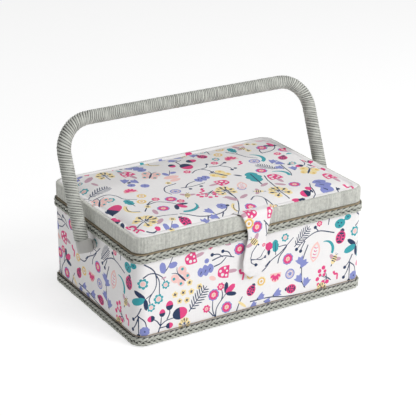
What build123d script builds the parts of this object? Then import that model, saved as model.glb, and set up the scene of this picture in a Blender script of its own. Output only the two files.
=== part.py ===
"""A small cloth-covered sewing box with a padded hinged lid, a swinging handle and two lift-out trays.

Millimetres. The origin is the middle of the underside, +Z is up and the front faces -Y.
"""

import math
import os

from build123d import *

os.makedirs("parts", exist_ok=True)

# ---- driving dimensions -------------------------------------------------------------------------
CASE_LENGTH = 262.0  # over the outer cloth, along X
CASE_WIDTH = 178.0  # over the outer cloth, along Y
CASE_CORNER = 11.0  # plan radius over the outer cloth
CLOTH = 1.0  # thickness of the outer cloth and of the lining
BOARD = 4.0  # thickness of the walls and of the bottom
BASE_COVER = 1.0  # sheet that closes the underside
WALL_TOP = 94.0

BRAID_OUT = 2.0  # how far the braids stand out from the cloth
BASE_BRAID_OUT = 2.4
BASE_BRAID_TOP = 10.2
RIM_BRAID_LOW = 85.6
RIM_BRAID_TOP = 94.8
PIPING = 0.8  # height of the twine above the base braid
PIPING_OUT = 1.2
BINDING = 1.0  # tape over the top edge of the walls

LID_LOW = 95.5
LID_TOP = 111.4
LID_LENGTH = 262.0
LID_WIDTH = 180.0
LID_CORNER = 12.5
LID_WRAP = 1.5  # cord wrapped round the lid's rim, at the outside
LID_FLANGE = 1.2  # the same wrap over and under the rim
LID_RIM = 5.0  # thickness of the rim strip under the wrap
LID_BOARD_LOW = 104.0
LID_BOARD_TOP = 107.0
LID_BORDER = 3.2  # wrapped border left showing round the top cloth
LID_CROWN = 3.6  # how far the padded top stands over the wrapped rim
LID_SHOULDER = 2.0  # height of its rounded edge
SHOULDER_RUN = 4.0  # plan width of that edge
CROWN_RUN = 18.0  # plan width over which the top becomes level
WRAP_EDGE = 2.0  # rounding of the wrapped rim's outer edges

LEDGE = 6.0  # square section of the two tray ledges
LEDGE_TOP = 64.0
LEDGE_LENGTH = 238.0
TRAY_TOP = 90.0
TRAY_WALL = 1.6
TRAY_GAP = 0.2  # under each tray, over the ledges
TRAY_LENGTH = 122.0  # along X
TRAY_WIDTH = 163.0  # along Y
TRAY_CORNER = 6.0
TRAY_MIDDLE = 62.6  # distance of each tray's middle from the box's middle
NOTCH_RADIUS = 11.0  # finger notches in the trays' front and back walls

HANDLE_HALF = 143.7  # middle of the box to the centreline of each leg
HANDLE_REACH = 121.6  # pivot to the centreline of the grip
HANDLE_BEND = 32.0
HANDLE_LEAN = 22.0  # degrees behind upright, as the handle stands at rest
PIVOT_Y = -4.0
PIVOT_Z = 75.5
WRAP_RADIUS = 6.9
CORE_RADIUS = 4.4
LEG_START = 5.5  # the leg's lower end, above the pivot
CAP_RADIUS = 8.4
CAP_HEIGHT = 13.5
CAP_EDGE = 2.6
SOCKET_RADIUS = 6.95
PIN_RADIUS = 3.0
RUNNING = 0.05  # radial clearance of the turning pins
PLAY = 0.3  # end clearance of the turning pins
BUSH_RADIUS = 4.2
BUSH_FLANGE = 7.5
NUT_RADIUS = 5.5
NUT = 0.9
NUT_RECESS = 7.0
NUT_RECESS_DEPTH = 1.8

HINGE_X = 85.0  # middle of each hinge from the middle of the box
HINGE_LENGTH = 30.0
HINGE_Y = 92.5
HINGE_Z = 97.2
KNUCKLE_RADIUS = 2.0
KNUCKLE = 10.0
KNUCKLE_PLAY = 0.2
HINGE_PIN = 0.9
LEAF = 0.8
LEAF_LOW = 86.2
LEAF_HIGH = 109.0
SCREW_RADIUS = 1.2
SCREW_HEAD = 2.0
SCREW_SPACING = 20.0

TAB_ROOT = 23.0  # half width where the tab leaves the lid
TAB_WAIST = 14.3
TAB_PADDLE = 15.5
TAB_LOW = 46.0
TAB_TOP = 111.1
TAB_FACE = 91.4  # the tab's inner face, in front of the middle of the box
TAB_THICKNESS = 2.6
MAGNET_RADIUS = 7.5
MAGNET = 1.6
MAGNET_Z = 61.5

# ---- dimensions that follow ---------------------------------------------------------------------
SHELL_LENGTH = CASE_LENGTH - 2 * CLOTH
SHELL_WIDTH = CASE_WIDTH - 2 * CLOTH
SHELL_CORNER = CASE_CORNER - CLOTH
ROOM_LENGTH = SHELL_LENGTH - 2 * BOARD
ROOM_WIDTH = SHELL_WIDTH - 2 * BOARD
ROOM_CORNER = SHELL_CORNER - BOARD
WALL_HEIGHT = WALL_TOP - BASE_COVER
FLOOR_TOP = BASE_COVER + BOARD
PAD_TOP = FLOOR_TOP + 3.0
LINED_LENGTH = ROOM_LENGTH - 2 * CLOTH
LINED_WIDTH = ROOM_WIDTH - 2 * CLOTH
RECESS_LENGTH = LID_LENGTH - 2 * (LID_WRAP + LID_RIM)
RECESS_WIDTH = LID_WIDTH - 2 * (LID_WRAP + LID_RIM)
RECESS_CORNER = LID_CORNER - LID_WRAP - LID_RIM
LEAN = math.radians(HANDLE_LEAN)
LEG_UP = (0, math.sin(LEAN), math.cos(LEAN))
GRIP_PLANE = Plane(
    origin=(0, PIVOT_Y, PIVOT_Z), x_dir=(1, 0, 0), z_dir=(0, -math.cos(LEAN), math.sin(LEAN))
)
CASE_SIDE = CASE_LENGTH / 2
CAP_INNER = HANDLE_HALF - CAP_RADIUS
BUSH_FACE = CAP_INNER - PLAY
NUT_FACE = ROOM_LENGTH / 2 + NUT_RECESS_DEPTH
LINING_LOW = LID_BOARD_LOW - 1.2  # underside of the lid's lining
SIDES = {"left": -1, "right": 1}


# ---- shared shapes ------------------------------------------------------------------------------
def write(piece, name):
    """Labels a finished sub-part and writes its STEP file."""
    piece.part.label = name
    export_step(piece.part, f"parts/{name}.step")


def slab(length, width, corner, low, high):
    """A plate with rounded plan corners."""
    with BuildPart() as plate:
        with BuildSketch(Plane.XY.offset(low)):
            RectangleRounded(length, width, corner)
        extrude(amount=high - low)
    return plate.part


def band(length, width, corner, thickness, low, high):
    """A rounded-rectangle hoop, with its outer size given and its thickness inwards."""
    with BuildPart() as hoop:
        add(slab(length, width, corner, low, high))
        inner = (length - 2 * thickness, width - 2 * thickness, corner - thickness)
        add(slab(*inner, low, high), mode=Mode.SUBTRACT)
    return hoop.part


# ---- the box: bottom, walls, coverings ----------------------------------------------------------
with BuildPart() as base_cover:
    add(slab(CASE_LENGTH, CASE_WIDTH, CASE_CORNER, 0, BASE_COVER))
write(base_cover, "base_cover")

with BuildPart() as bottom_board:
    add(slab(ROOM_LENGTH, ROOM_WIDTH, ROOM_CORNER, BASE_COVER, FLOOR_TOP))
write(bottom_board, "bottom_board")

# Flat boards run between four bent corner pieces; the front one holds the catch magnet.
FLAT_LENGTH = SHELL_LENGTH - 2 * SHELL_CORNER
FLAT_WIDTH = SHELL_WIDTH - 2 * SHELL_CORNER
WALL_MIDDLE = (WALL_TOP + BASE_COVER) / 2

with BuildPart() as front_wall:
    with Locations((0, (BOARD - SHELL_WIDTH) / 2, WALL_MIDDLE)):
        Box(FLAT_LENGTH, BOARD, WALL_HEIGHT)
    with BuildSketch(Plane.XZ.offset(SHELL_WIDTH / 2)):
        with Locations((0, MAGNET_Z)):
            Circle(MAGNET_RADIUS + 0.1)
    extrude(amount=-MAGNET, mode=Mode.SUBTRACT)
write(front_wall, "front_wall")

with BuildPart() as back_wall:
    with Locations((0, (SHELL_WIDTH - BOARD) / 2, WALL_MIDDLE)):
        Box(FLAT_LENGTH, BOARD, WALL_HEIGHT)
write(back_wall, "back_wall")

for name, side in SIDES.items():
    with BuildPart() as side_wall:
        with Locations((side * (SHELL_LENGTH - BOARD) / 2, 0, WALL_MIDDLE)):
            Box(BOARD, FLAT_WIDTH, WALL_HEIGHT)
        room_face = Plane(
            origin=(side * ROOM_LENGTH / 2, PIVOT_Y, PIVOT_Z), x_dir=(0, 1, 0), z_dir=(side, 0, 0)
        )
        with BuildSketch(room_face):
            Circle(NUT_RECESS)
        extrude(amount=NUT_RECESS_DEPTH, mode=Mode.SUBTRACT)
        with BuildSketch(room_face):
            Circle(BUSH_RADIUS)
        extrude(amount=BOARD, mode=Mode.SUBTRACT)
    write(side_wall, f"{name}_wall")

with BuildPart() as corner_pieces:
    add(band(SHELL_LENGTH, SHELL_WIDTH, SHELL_CORNER, BOARD, BASE_COVER, WALL_TOP))
    with Locations((0, 0, WALL_MIDDLE)):
        Box(FLAT_LENGTH, SHELL_WIDTH, WALL_HEIGHT, mode=Mode.SUBTRACT)
        Box(SHELL_LENGTH, FLAT_WIDTH, WALL_HEIGHT, mode=Mode.SUBTRACT)
write(corner_pieces, "corner_pieces")

with BuildPart() as catch_magnet:
    with BuildSketch(Plane.XZ.offset(SHELL_WIDTH / 2)):
        with Locations((0, MAGNET_Z)):
            Circle(MAGNET_RADIUS)
    extrude(amount=-MAGNET)
write(catch_magnet, "catch_magnet")

with BuildPart() as body_cloth:
    add(band(CASE_LENGTH, CASE_WIDTH, CASE_CORNER, CLOTH, BASE_COVER, WALL_TOP))
    with BuildSketch(Plane.YZ.offset(-CASE_SIDE)):
        with Locations((PIVOT_Y, PIVOT_Z)):
            Circle(BUSH_RADIUS)
    extrude(amount=CASE_LENGTH, mode=Mode.SUBTRACT)
write(body_cloth, "body_cloth")

with BuildPart() as side_lining:
    add(band(ROOM_LENGTH, ROOM_WIDTH, ROOM_CORNER, CLOTH, FLOOR_TOP, WALL_TOP))
write(side_lining, "side_lining")

with BuildPart() as floor_pad:
    add(slab(LINED_LENGTH, LINED_WIDTH, ROOM_CORNER - CLOTH, FLOOR_TOP, PAD_TOP))
write(floor_pad, "floor_pad")

with BuildPart() as top_binding:
    binding_width = CLOTH + BOARD + CLOTH
    add(
        band(CASE_LENGTH, CASE_WIDTH, CASE_CORNER, binding_width, WALL_TOP, WALL_TOP + BINDING)
    )
write(top_binding, "top_binding")

with BuildPart() as rim_braid:
    add(
        band(
            CASE_LENGTH + 2 * BRAID_OUT,
            CASE_WIDTH + 2 * BRAID_OUT,
            CASE_CORNER + BRAID_OUT,
            BRAID_OUT,
            RIM_BRAID_LOW,
            RIM_BRAID_TOP,
        )
    )
write(rim_braid, "rim_braid")

with BuildPart() as base_braid:
    add(
        band(
            CASE_LENGTH + 2 * BASE_BRAID_OUT,
            CASE_WIDTH + 2 * BASE_BRAID_OUT,
            CASE_CORNER + BASE_BRAID_OUT,
            BASE_BRAID_OUT,
            0,
            BASE_BRAID_TOP,
        )
    )
write(base_braid, "base_braid")

with BuildPart() as base_twine:
    add(
        band(
            CASE_LENGTH + 2 * PIPING_OUT,
            CASE_WIDTH + 2 * PIPING_OUT,
            CASE_CORNER + PIPING_OUT,
            PIPING_OUT,
            BASE_BRAID_TOP,
            BASE_BRAID_TOP + PIPING,
        )
    )
write(base_twine, "base_twine")

for name, side in {"front": -1, "back": 1}.items():
    with BuildPart() as ledge:
        with Locations((0, side * (LINED_WIDTH - LEDGE) / 2, LEDGE_TOP - LEDGE / 2)):
            Box(LEDGE_LENGTH, LEDGE, LEDGE)
    write(ledge, f"{name}_ledge")

# ---- the handle and its two pivots --------------------------------------------------------------
with BuildPart() as handle_core:
    with BuildLine(GRIP_PLANE) as core_line:
        FilletPolyline(
            (-HANDLE_HALF, LEG_START),
            (-HANDLE_HALF, HANDLE_REACH),
            (HANDLE_HALF, HANDLE_REACH),
            (HANDLE_HALF, LEG_START),
            radius=HANDLE_BEND,
        )
    with BuildSketch(Plane(origin=core_line.line @ 0, z_dir=core_line.line % 0)):
        Circle(CORE_RADIUS)
    sweep(path=core_line.line)
write(handle_core, "handle_core")

with BuildPart() as handle_wrap:
    with BuildLine(GRIP_PLANE) as wrap_line:
        FilletPolyline(
            (-HANDLE_HALF, LEG_START),
            (-HANDLE_HALF, HANDLE_REACH),
            (HANDLE_HALF, HANDLE_REACH),
            (HANDLE_HALF, LEG_START),
            radius=HANDLE_BEND,
        )
    with BuildSketch(Plane(origin=wrap_line.line @ 0, z_dir=wrap_line.line % 0)):
        Circle(WRAP_RADIUS)
        Circle(CORE_RADIUS, mode=Mode.SUBTRACT)
    sweep(path=wrap_line.line)
write(handle_wrap, "handle_wrap")

for name, side in SIDES.items():
    inner_face = Plane(
        origin=(side * CAP_INNER, PIVOT_Y, PIVOT_Z), x_dir=LEG_UP, z_dir=(side, 0, 0)
    )
    with BuildPart() as end_cap:
        with BuildSketch(inner_face):
            Circle(CAP_RADIUS)
            with Locations((CAP_HEIGHT / 2, 0)):
                Rectangle(CAP_HEIGHT, 2 * CAP_RADIUS)
        extrude(amount=2 * CAP_RADIUS)
        outer_edges = end_cap.edges().filter_by_position(
            Axis.X, side * (CAP_INNER + 2 * CAP_RADIUS) - 0.1, side * (CAP_INNER + 2 * CAP_RADIUS) + 0.1
        )
        fillet(outer_edges, CAP_EDGE)
        leg_foot = Vector(side * HANDLE_HALF, PIVOT_Y, PIVOT_Z) + Vector(*LEG_UP) * LEG_START
        with BuildSketch(Plane(origin=leg_foot, x_dir=(1, 0, 0), z_dir=LEG_UP)):
            Circle(SOCKET_RADIUS)
        extrude(amount=CAP_HEIGHT, mode=Mode.SUBTRACT)
        with BuildSketch(inner_face):
            Circle(PIN_RADIUS)
        extrude(amount=-(CAP_INNER - ROOM_LENGTH / 2 - 0.5))
    write(end_cap, f"{name}_end_cap")

    with BuildPart() as pivot_bush:
        with BuildSketch(Plane(origin=(side * CASE_SIDE, PIVOT_Y, PIVOT_Z), z_dir=(side, 0, 0))):
            Circle(BUSH_FLANGE)
        extrude(amount=BUSH_FACE - CASE_SIDE)
        with BuildSketch(Plane(origin=(side * NUT_FACE, PIVOT_Y, PIVOT_Z), z_dir=(side, 0, 0))):
            Circle(BUSH_RADIUS)
        extrude(amount=CASE_SIDE - NUT_FACE)
        with BuildSketch(Plane(origin=(side * NUT_FACE, PIVOT_Y, PIVOT_Z), z_dir=(side, 0, 0))):
            Circle(PIN_RADIUS + RUNNING)
        extrude(amount=BUSH_FACE - NUT_FACE, mode=Mode.SUBTRACT)
    write(pivot_bush, f"{name}_pivot_bush")

    nut_plane = Plane(origin=(side * (NUT_FACE - PLAY), PIVOT_Y, PIVOT_Z), z_dir=(-side, 0, 0))
    with BuildPart() as push_nut:
        with BuildSketch(nut_plane):
            Circle(NUT_RADIUS)
            Circle(PIN_RADIUS, mode=Mode.SUBTRACT)
        extrude(amount=NUT)
    write(push_nut, f"{name}_push_nut")

# ---- the lid ------------------------------------------------------------------------------------
with BuildPart() as lid_rim:
    add(
        band(
            LID_LENGTH - 2 * LID_WRAP,
            LID_WIDTH - 2 * LID_WRAP,
            LID_CORNER - LID_WRAP,
            LID_RIM,
            LID_LOW + LID_FLANGE,
            LID_TOP - LID_FLANGE,
        )
    )
write(lid_rim, "lid_rim")

with BuildPart() as lid_wrap:
    add(slab(LID_LENGTH, LID_WIDTH, LID_CORNER, LID_LOW, LID_TOP))
    fillet(lid_wrap.edges().filter_by(Plane.XY), WRAP_EDGE)
    add(slab(RECESS_LENGTH, RECESS_WIDTH, RECESS_CORNER, LID_LOW, LID_TOP), mode=Mode.SUBTRACT)
    add(
        slab(
            LID_LENGTH - 2 * LID_WRAP,
            LID_WIDTH - 2 * LID_WRAP,
            LID_CORNER - LID_WRAP,
            LID_LOW + LID_FLANGE,
            LID_TOP - LID_FLANGE,
        ),
        mode=Mode.SUBTRACT,
    )
write(lid_wrap, "lid_wrap")

with BuildPart() as lid_board:
    add(slab(RECESS_LENGTH, RECESS_WIDTH, RECESS_CORNER, LID_BOARD_LOW, LID_BOARD_TOP))
write(lid_board, "lid_board")

# The padded top: wadding under a cloth that stops short of the lid's edge.
TOP_LENGTH = LID_LENGTH - 2 * LID_BORDER
TOP_WIDTH = LID_WIDTH - 2 * LID_BORDER
TOP_CORNER = LID_CORNER - LID_BORDER


def crown(length, width, corner, shoulder, height):
    """A low crowned pad on the lid: a short rounded edge, then a long rise to a level middle."""
    levels = ((0, 0), (SHOULDER_RUN, shoulder), (CROWN_RUN, height))
    with BuildPart() as pad:
        for inset, rise in levels:
            with BuildSketch(Plane.XY.offset(LID_TOP + rise)):
                RectangleRounded(length - 2 * inset, width - 2 * inset, corner)
        loft(ruled=True)
    return pad.part


wadding_crown = crown(
    TOP_LENGTH - 2 * CLOTH,
    TOP_WIDTH - 2 * CLOTH,
    TOP_CORNER - CLOTH,
    LID_SHOULDER - CLOTH,
    LID_CROWN - CLOTH,
)

with BuildPart() as lid_wadding:
    add(slab(RECESS_LENGTH, RECESS_WIDTH, RECESS_CORNER, LID_BOARD_TOP, LID_TOP))
    add(wadding_crown)
write(lid_wadding, "lid_wadding")

with BuildPart() as lid_cloth:
    add(crown(TOP_LENGTH, TOP_WIDTH, TOP_CORNER, LID_SHOULDER, LID_CROWN))
    add(wadding_crown, mode=Mode.SUBTRACT)
    tongue_front = TAB_FACE - 0.4
    tongue_depth = tongue_front - TOP_WIDTH / 2 + CLOTH / 2
    with Locations((0, tongue_depth / 2 - tongue_front, LID_TOP + CLOTH / 2)):
        Box(2 * TAB_ROOT, tongue_depth, CLOTH)
write(lid_cloth, "lid_cloth")

with BuildPart() as lid_lining:
    add(slab(RECESS_LENGTH, RECESS_WIDTH, RECESS_CORNER, LINING_LOW, LID_BOARD_LOW))
write(lid_lining, "lid_lining")

# A flat pocket on the lining, closed on three sides and open towards the lid's front edge.
POCKET_LENGTH = 150.0
POCKET_DEPTH = 96.0
POCKET_X = 34.0
POCKET_Y = 4.0
POCKET_ROOM = 4.8
POCKET_CLOTH = 0.9
POCKET_LOW = LINING_LOW - POCKET_ROOM - POCKET_CLOTH

with BuildPart() as lid_pocket:
    with Locations((POCKET_X, POCKET_Y, (LINING_LOW + POCKET_LOW) / 2)):
        Box(POCKET_LENGTH, POCKET_DEPTH, POCKET_ROOM + POCKET_CLOTH)
    with Locations((POCKET_X, POCKET_Y - POCKET_CLOTH, LINING_LOW - POCKET_ROOM / 2)):
        Box(
            POCKET_LENGTH - 2 * POCKET_CLOTH,
            POCKET_DEPTH,
            POCKET_ROOM,
            mode=Mode.SUBTRACT,
        )
write(lid_pocket, "lid_pocket")

ELASTIC = 0.6
ELASTIC_WIDTH = 5.0
with BuildPart() as pocket_elastic:
    with Locations(
        (
            POCKET_X,
            POCKET_Y - (POCKET_DEPTH - ELASTIC_WIDTH) / 2,
            POCKET_LOW - ELASTIC / 2,
        )
    ):
        Box(POCKET_LENGTH, ELASTIC_WIDTH, ELASTIC)
write(pocket_elastic, "pocket_elastic")

CUSHION = (52.0, 104.0, 7.0)
CUSHION_X = -78.0
with BuildPart() as pin_cushion:
    with Locations((CUSHION_X, POCKET_Y, LINING_LOW - CUSHION[2] / 2)):
        Box(*CUSHION)
    fillet(pin_cushion.edges().filter_by(Axis.Z), 9)
    fillet(pin_cushion.faces().sort_by(Axis.Z)[0].edges(), 5)
write(pin_cushion, "pin_cushion")

# ---- the closing tab, which hangs from the lid's front edge -------------------------------------
with BuildPart() as closing_tab:
    with BuildSketch(Plane.XZ.offset(TAB_FACE)) as tab_outline:
        with BuildLine():
            Line((0, TAB_TOP), (TAB_ROOT, TAB_TOP))
            Spline(
                (TAB_ROOT, TAB_TOP),
                (TAB_WAIST, LID_LOW),
                (TAB_PADDLE, TAB_LOW + TAB_PADDLE),
                tangents=((-0.75, -1), (0, -1)),
            )
            RadiusArc((TAB_PADDLE, TAB_LOW + TAB_PADDLE), (0, TAB_LOW), TAB_PADDLE)
            Line((0, TAB_LOW), (0, TAB_TOP))
        make_face()
        mirror(about=Plane.YZ)
    extrude(amount=TAB_THICKNESS)
    with BuildSketch(Plane.XZ.offset(TAB_FACE)):
        with Locations((0, MAGNET_Z)):
            Circle(MAGNET_RADIUS + 0.1)
    extrude(amount=MAGNET, mode=Mode.SUBTRACT)
write(closing_tab, "closing_tab")

with BuildPart() as tab_magnet:
    with BuildSketch(Plane.XZ.offset(TAB_FACE)):
        with Locations((0, MAGNET_Z)):
            Circle(MAGNET_RADIUS)
    extrude(amount=MAGNET)
write(tab_magnet, "tab_magnet")

# ---- two butt hinges along the back edge --------------------------------------------------------
BRAID_BACK = CASE_WIDTH / 2 + BRAID_OUT
LID_BACK = LID_WIDTH / 2
SCREW_LENGTH = 6.0
BODY_SCREW_Z = 89.5
LID_SCREW_Z = 104.0
KNUCKLE_GAP = 2 * KNUCKLE_RADIUS + 2 * PLAY  # height left free round a knuckle


def knuckles(x, spans):
    """Knuckle tubes round the hinge line, one for each (start, end) measured from the hinge's middle."""
    with BuildPart() as tubes:
        for start, end in spans:
            with BuildSketch(Plane.YZ.offset(x + start)):
                with Locations((HINGE_Y, HINGE_Z)):
                    Circle(KNUCKLE_RADIUS)
            extrude(amount=end - start)
    return tubes.part


def bored(x, radius):
    """The round space along the hinge line that a pin of that radius fills."""
    with BuildPart() as bore:
        with BuildSketch(Plane.YZ.offset(x - HINGE_LENGTH / 2)):
            with Locations((HINGE_Y, HINGE_Z)):
                Circle(radius)
        extrude(amount=HINGE_LENGTH)
    return bore.part


for name, side in SIDES.items():
    middle = side * HINGE_X
    half = HINGE_LENGTH / 2
    outer_spans = ((-half, -KNUCKLE / 2 - KNUCKLE_PLAY), (KNUCKLE / 2 + KNUCKLE_PLAY, half))

    with BuildPart() as body_leaf:
        with Locations((middle, BRAID_BACK + LEAF / 2, (LEAF_LOW + HINGE_Z) / 2)):
            Box(HINGE_LENGTH, LEAF, HINGE_Z - LEAF_LOW)
        with Locations((middle, BRAID_BACK + LEAF / 2, HINGE_Z)):
            Box(KNUCKLE + 2 * KNUCKLE_PLAY, LEAF, KNUCKLE_GAP, mode=Mode.SUBTRACT)
        add(knuckles(middle, outer_spans))
        add(bored(middle, HINGE_PIN), mode=Mode.SUBTRACT)
        with BuildSketch(Plane.XZ.offset(-BRAID_BACK)):
            with Locations((middle, BODY_SCREW_Z)):
                with GridLocations(SCREW_SPACING, 1, 2, 1):
                    Circle(SCREW_RADIUS)
        extrude(amount=-LEAF, mode=Mode.SUBTRACT)
    write(body_leaf, f"{name}_hinge_body_leaf")

    with BuildPart() as lid_leaf:
        with Locations((middle, LID_BACK + LEAF / 2, (HINGE_Z + LEAF_HIGH) / 2)):
            Box(HINGE_LENGTH, LEAF, LEAF_HIGH - HINGE_Z)
        for start, end in outer_spans:
            with Locations((middle + (start + end) / 2, LID_BACK + LEAF / 2, HINGE_Z)):
                Box(end - start + 2 * KNUCKLE_PLAY, LEAF, KNUCKLE_GAP, mode=Mode.SUBTRACT)
        add(knuckles(middle, ((-KNUCKLE / 2, KNUCKLE / 2),)))
        add(bored(middle, HINGE_PIN + RUNNING), mode=Mode.SUBTRACT)
        with BuildSketch(Plane.XZ.offset(-LID_BACK)):
            with Locations((middle, LID_SCREW_Z)):
                with GridLocations(SCREW_SPACING, 1, 2, 1):
                    Circle(SCREW_RADIUS)
        extrude(amount=-LEAF, mode=Mode.SUBTRACT)
    write(lid_leaf, f"{name}_hinge_lid_leaf")

    with BuildPart() as hinge_pin:
        add(bored(middle, HINGE_PIN))
    write(hinge_pin, f"{name}_hinge_pin")


def screws(seat, height):
    """Four small screws with low heads, driven forwards from a leaf whose outer face is at seat."""
    with BuildPart() as driven:
        with BuildSketch(Plane.XZ.offset(-seat)):
            with Locations((0, height)):
                with GridLocations(2 * HINGE_X, 1, 2, 1):
                    with GridLocations(SCREW_SPACING, 1, 2, 1):
                        Circle(SCREW_HEAD)
        extrude(amount=-0.6)
        with BuildSketch(Plane.XZ.offset(-seat)):
            with Locations((0, height)):
                with GridLocations(2 * HINGE_X, 1, 2, 1):
                    with GridLocations(SCREW_SPACING, 1, 2, 1):
                        Circle(SCREW_RADIUS)
        extrude(amount=SCREW_LENGTH)
    return driven.part


with BuildPart() as body_hinge_screws:
    add(screws(BRAID_BACK + LEAF, BODY_SCREW_Z))
write(body_hinge_screws, "body_hinge_screws")

with BuildPart() as lid_hinge_screws:
    add(screws(LID_BACK + LEAF, LID_SCREW_Z))
write(lid_hinge_screws, "lid_hinge_screws")

# ---- two moulded trays, side by side on the ledges ----------------------------------------------
TRAY_LOW = LEDGE_TOP + TRAY_GAP


def tray(middle, columns, rows):
    """An open tray with a grid of equal compartments and finger notches front and back."""
    cell_length = (TRAY_LENGTH - (columns + 1) * TRAY_WALL) / columns
    cell_width = (TRAY_WIDTH - (rows + 1) * TRAY_WALL) / rows
    with BuildPart() as moulding:
        with BuildSketch(Plane.XY.offset(TRAY_LOW)):
            with Locations((middle, 0)):
                RectangleRounded(TRAY_LENGTH, TRAY_WIDTH, TRAY_CORNER)
        extrude(amount=TRAY_TOP - TRAY_LOW)
        with BuildSketch(Plane.XY.offset(TRAY_LOW + TRAY_WALL)):
            with Locations((middle, 0)):
                with GridLocations(
                    cell_length + TRAY_WALL, cell_width + TRAY_WALL, columns, rows
                ):
                    RectangleRounded(cell_length, cell_width, TRAY_CORNER - TRAY_WALL)
        extrude(amount=TRAY_TOP - TRAY_LOW, mode=Mode.SUBTRACT)
        with BuildSketch(Plane.XZ.offset(-TRAY_WIDTH / 2)):
            with Locations((middle + cell_length / 2 * (columns - 1), TRAY_TOP)):
                Circle(NOTCH_RADIUS)
        extrude(amount=TRAY_WALL, mode=Mode.SUBTRACT)
        with BuildSketch(Plane.XZ.offset(TRAY_WIDTH / 2)):
            with Locations((middle + cell_length / 2 * (columns - 1), TRAY_TOP)):
                Circle(NOTCH_RADIUS)
        extrude(amount=-TRAY_WALL, mode=Mode.SUBTRACT)
    return moulding.part


with BuildPart() as left_tray:
    add(tray(-TRAY_MIDDLE, 2, 2))
write(left_tray, "left_tray")

with BuildPart() as right_tray:
    add(tray(TRAY_MIDDLE, 1, 3))
write(right_tray, "right_tray")
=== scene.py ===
"""The looks of a small cloth-covered sewing box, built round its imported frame.

Sizes in this file are millimetres unless a name says otherwise; meshes are scaled to metres as they are made.
"""

import cmath
import math
import random

import bmesh
import bpy
import numpy as np
from mathutils import Matrix, Vector, noise
from mathutils.bvhtree import BVHTree
from mathutils.geometry import delaunay_2d_cdt


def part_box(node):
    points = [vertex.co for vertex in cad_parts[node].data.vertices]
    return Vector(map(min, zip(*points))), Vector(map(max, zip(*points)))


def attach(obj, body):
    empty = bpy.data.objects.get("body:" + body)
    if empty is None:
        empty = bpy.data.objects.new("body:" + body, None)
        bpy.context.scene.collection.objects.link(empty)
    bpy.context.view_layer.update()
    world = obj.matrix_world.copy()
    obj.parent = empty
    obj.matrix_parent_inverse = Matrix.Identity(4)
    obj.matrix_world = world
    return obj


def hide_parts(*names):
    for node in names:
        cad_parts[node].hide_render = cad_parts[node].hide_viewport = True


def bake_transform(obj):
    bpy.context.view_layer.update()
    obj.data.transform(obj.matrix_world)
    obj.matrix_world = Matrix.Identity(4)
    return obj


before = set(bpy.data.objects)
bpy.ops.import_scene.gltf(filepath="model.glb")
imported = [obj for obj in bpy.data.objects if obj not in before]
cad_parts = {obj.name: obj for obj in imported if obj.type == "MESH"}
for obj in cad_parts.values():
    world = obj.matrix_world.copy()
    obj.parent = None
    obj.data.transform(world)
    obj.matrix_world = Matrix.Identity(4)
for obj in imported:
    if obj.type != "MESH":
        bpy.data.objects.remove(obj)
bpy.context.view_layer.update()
bpy.ops.object.select_all(action="DESELECT")

MM = 0.001
TURN = math.tau


def reach(node):
    """Lowest and highest corners of a CAD node, in millimetres."""
    low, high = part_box(node)
    return np.array(low) / MM, np.array(high) / MM


# ---- sizes, from the frame ------------------------------------------------------------------------
CASE_LOW, CASE_HIGH = reach("body_cloth")
CASE_LENGTH, CASE_WIDTH = (CASE_HIGH - CASE_LOW)[:2]
CASE_CORNER = 11.0  # plan radius of the body, which a box in the frame doesn't tell
WALL_TOP = CASE_HIGH[2]
LID_LOW, LID_HIGH = reach("lid_wrap")
LID_LENGTH, LID_WIDTH = (LID_HIGH - LID_LOW)[:2]
LID_CORNER = 12.5
LID_TOP = LID_HIGH[2]
LINING_LOW = reach("lid_lining")[0][2]
PIVOT = sum(reach("left_pivot_bush")) / 2
GRIP_HIGH = reach("handle_wrap")[1]
WRAP_RADIUS = 6.9  # over the handle's cord
HANDLE_HALF = GRIP_HIGH[0] - WRAP_RADIUS
HANDLE_LEAN = math.radians(22.0)
HANDLE_REACH = (GRIP_HIGH[2] - WRAP_RADIUS - PIVOT[2]) / math.cos(HANDLE_LEAN)
HANDLE_BEND = 32.0
LEG_START = 5.5  # where the cord comes out of the end cap


# ---- small mesh tools -----------------------------------------------------------------------------
def linked(name, data):
    """A new object in the scene for this data."""
    made = bpy.data.objects.new(name, data)
    bpy.context.scene.collection.objects.link(made)
    return made


def place(name, points, faces):
    """A new object from points in millimetres and faces, with smooth shading."""
    mesh = bpy.data.meshes.new(name)
    mesh.from_pydata((np.asarray(points, float) * MM).tolist(), [], np.asarray(faces).tolist())
    mesh.shade_smooth()
    return linked(name, mesh)


def points_of(made):
    """Every point of an object, in metres."""
    points = np.zeros(len(made.data.vertices) * 3)
    made.data.vertices.foreach_get("co", points)
    return points.reshape(-1, 3)


def alone(made):
    """Selects one object and nothing else, and makes it active."""
    bpy.ops.object.select_all(action="DESELECT")
    made.select_set(True)
    bpy.context.view_layer.objects.active = made
    return made


def modify(made, kind, **settings):
    """Adds a modifier with these settings and applies it."""
    alone(made)
    modifier = made.modifiers.new(kind.title(), kind)
    for key, value in settings.items():
        setattr(modifier, key, value)
    bpy.ops.object.modifier_apply(modifier=modifier.name)
    return made


def in_edit(made, *steps):
    """Runs mesh operators on everything in an object."""
    alone(made)
    bpy.ops.object.mode_set(mode="EDIT")
    bpy.ops.mesh.select_all(action="SELECT")
    for step, settings in steps:
        step(**settings)
    bpy.ops.object.mode_set(mode="OBJECT")
    return made


def outwards(made):
    """Merges doubled points and turns every face outwards."""
    return in_edit(
        made,
        (bpy.ops.mesh.remove_doubles, {"threshold": 0.00001}),
        (bpy.ops.mesh.normals_make_consistent, {"inside": False}),
    )


def softened(made, angle=40.0):
    """Smooth shading that keeps edges sharper than this angle."""
    alone(made)
    bpy.ops.object.shade_smooth_by_angle(angle=math.radians(angle))
    return made


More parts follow.
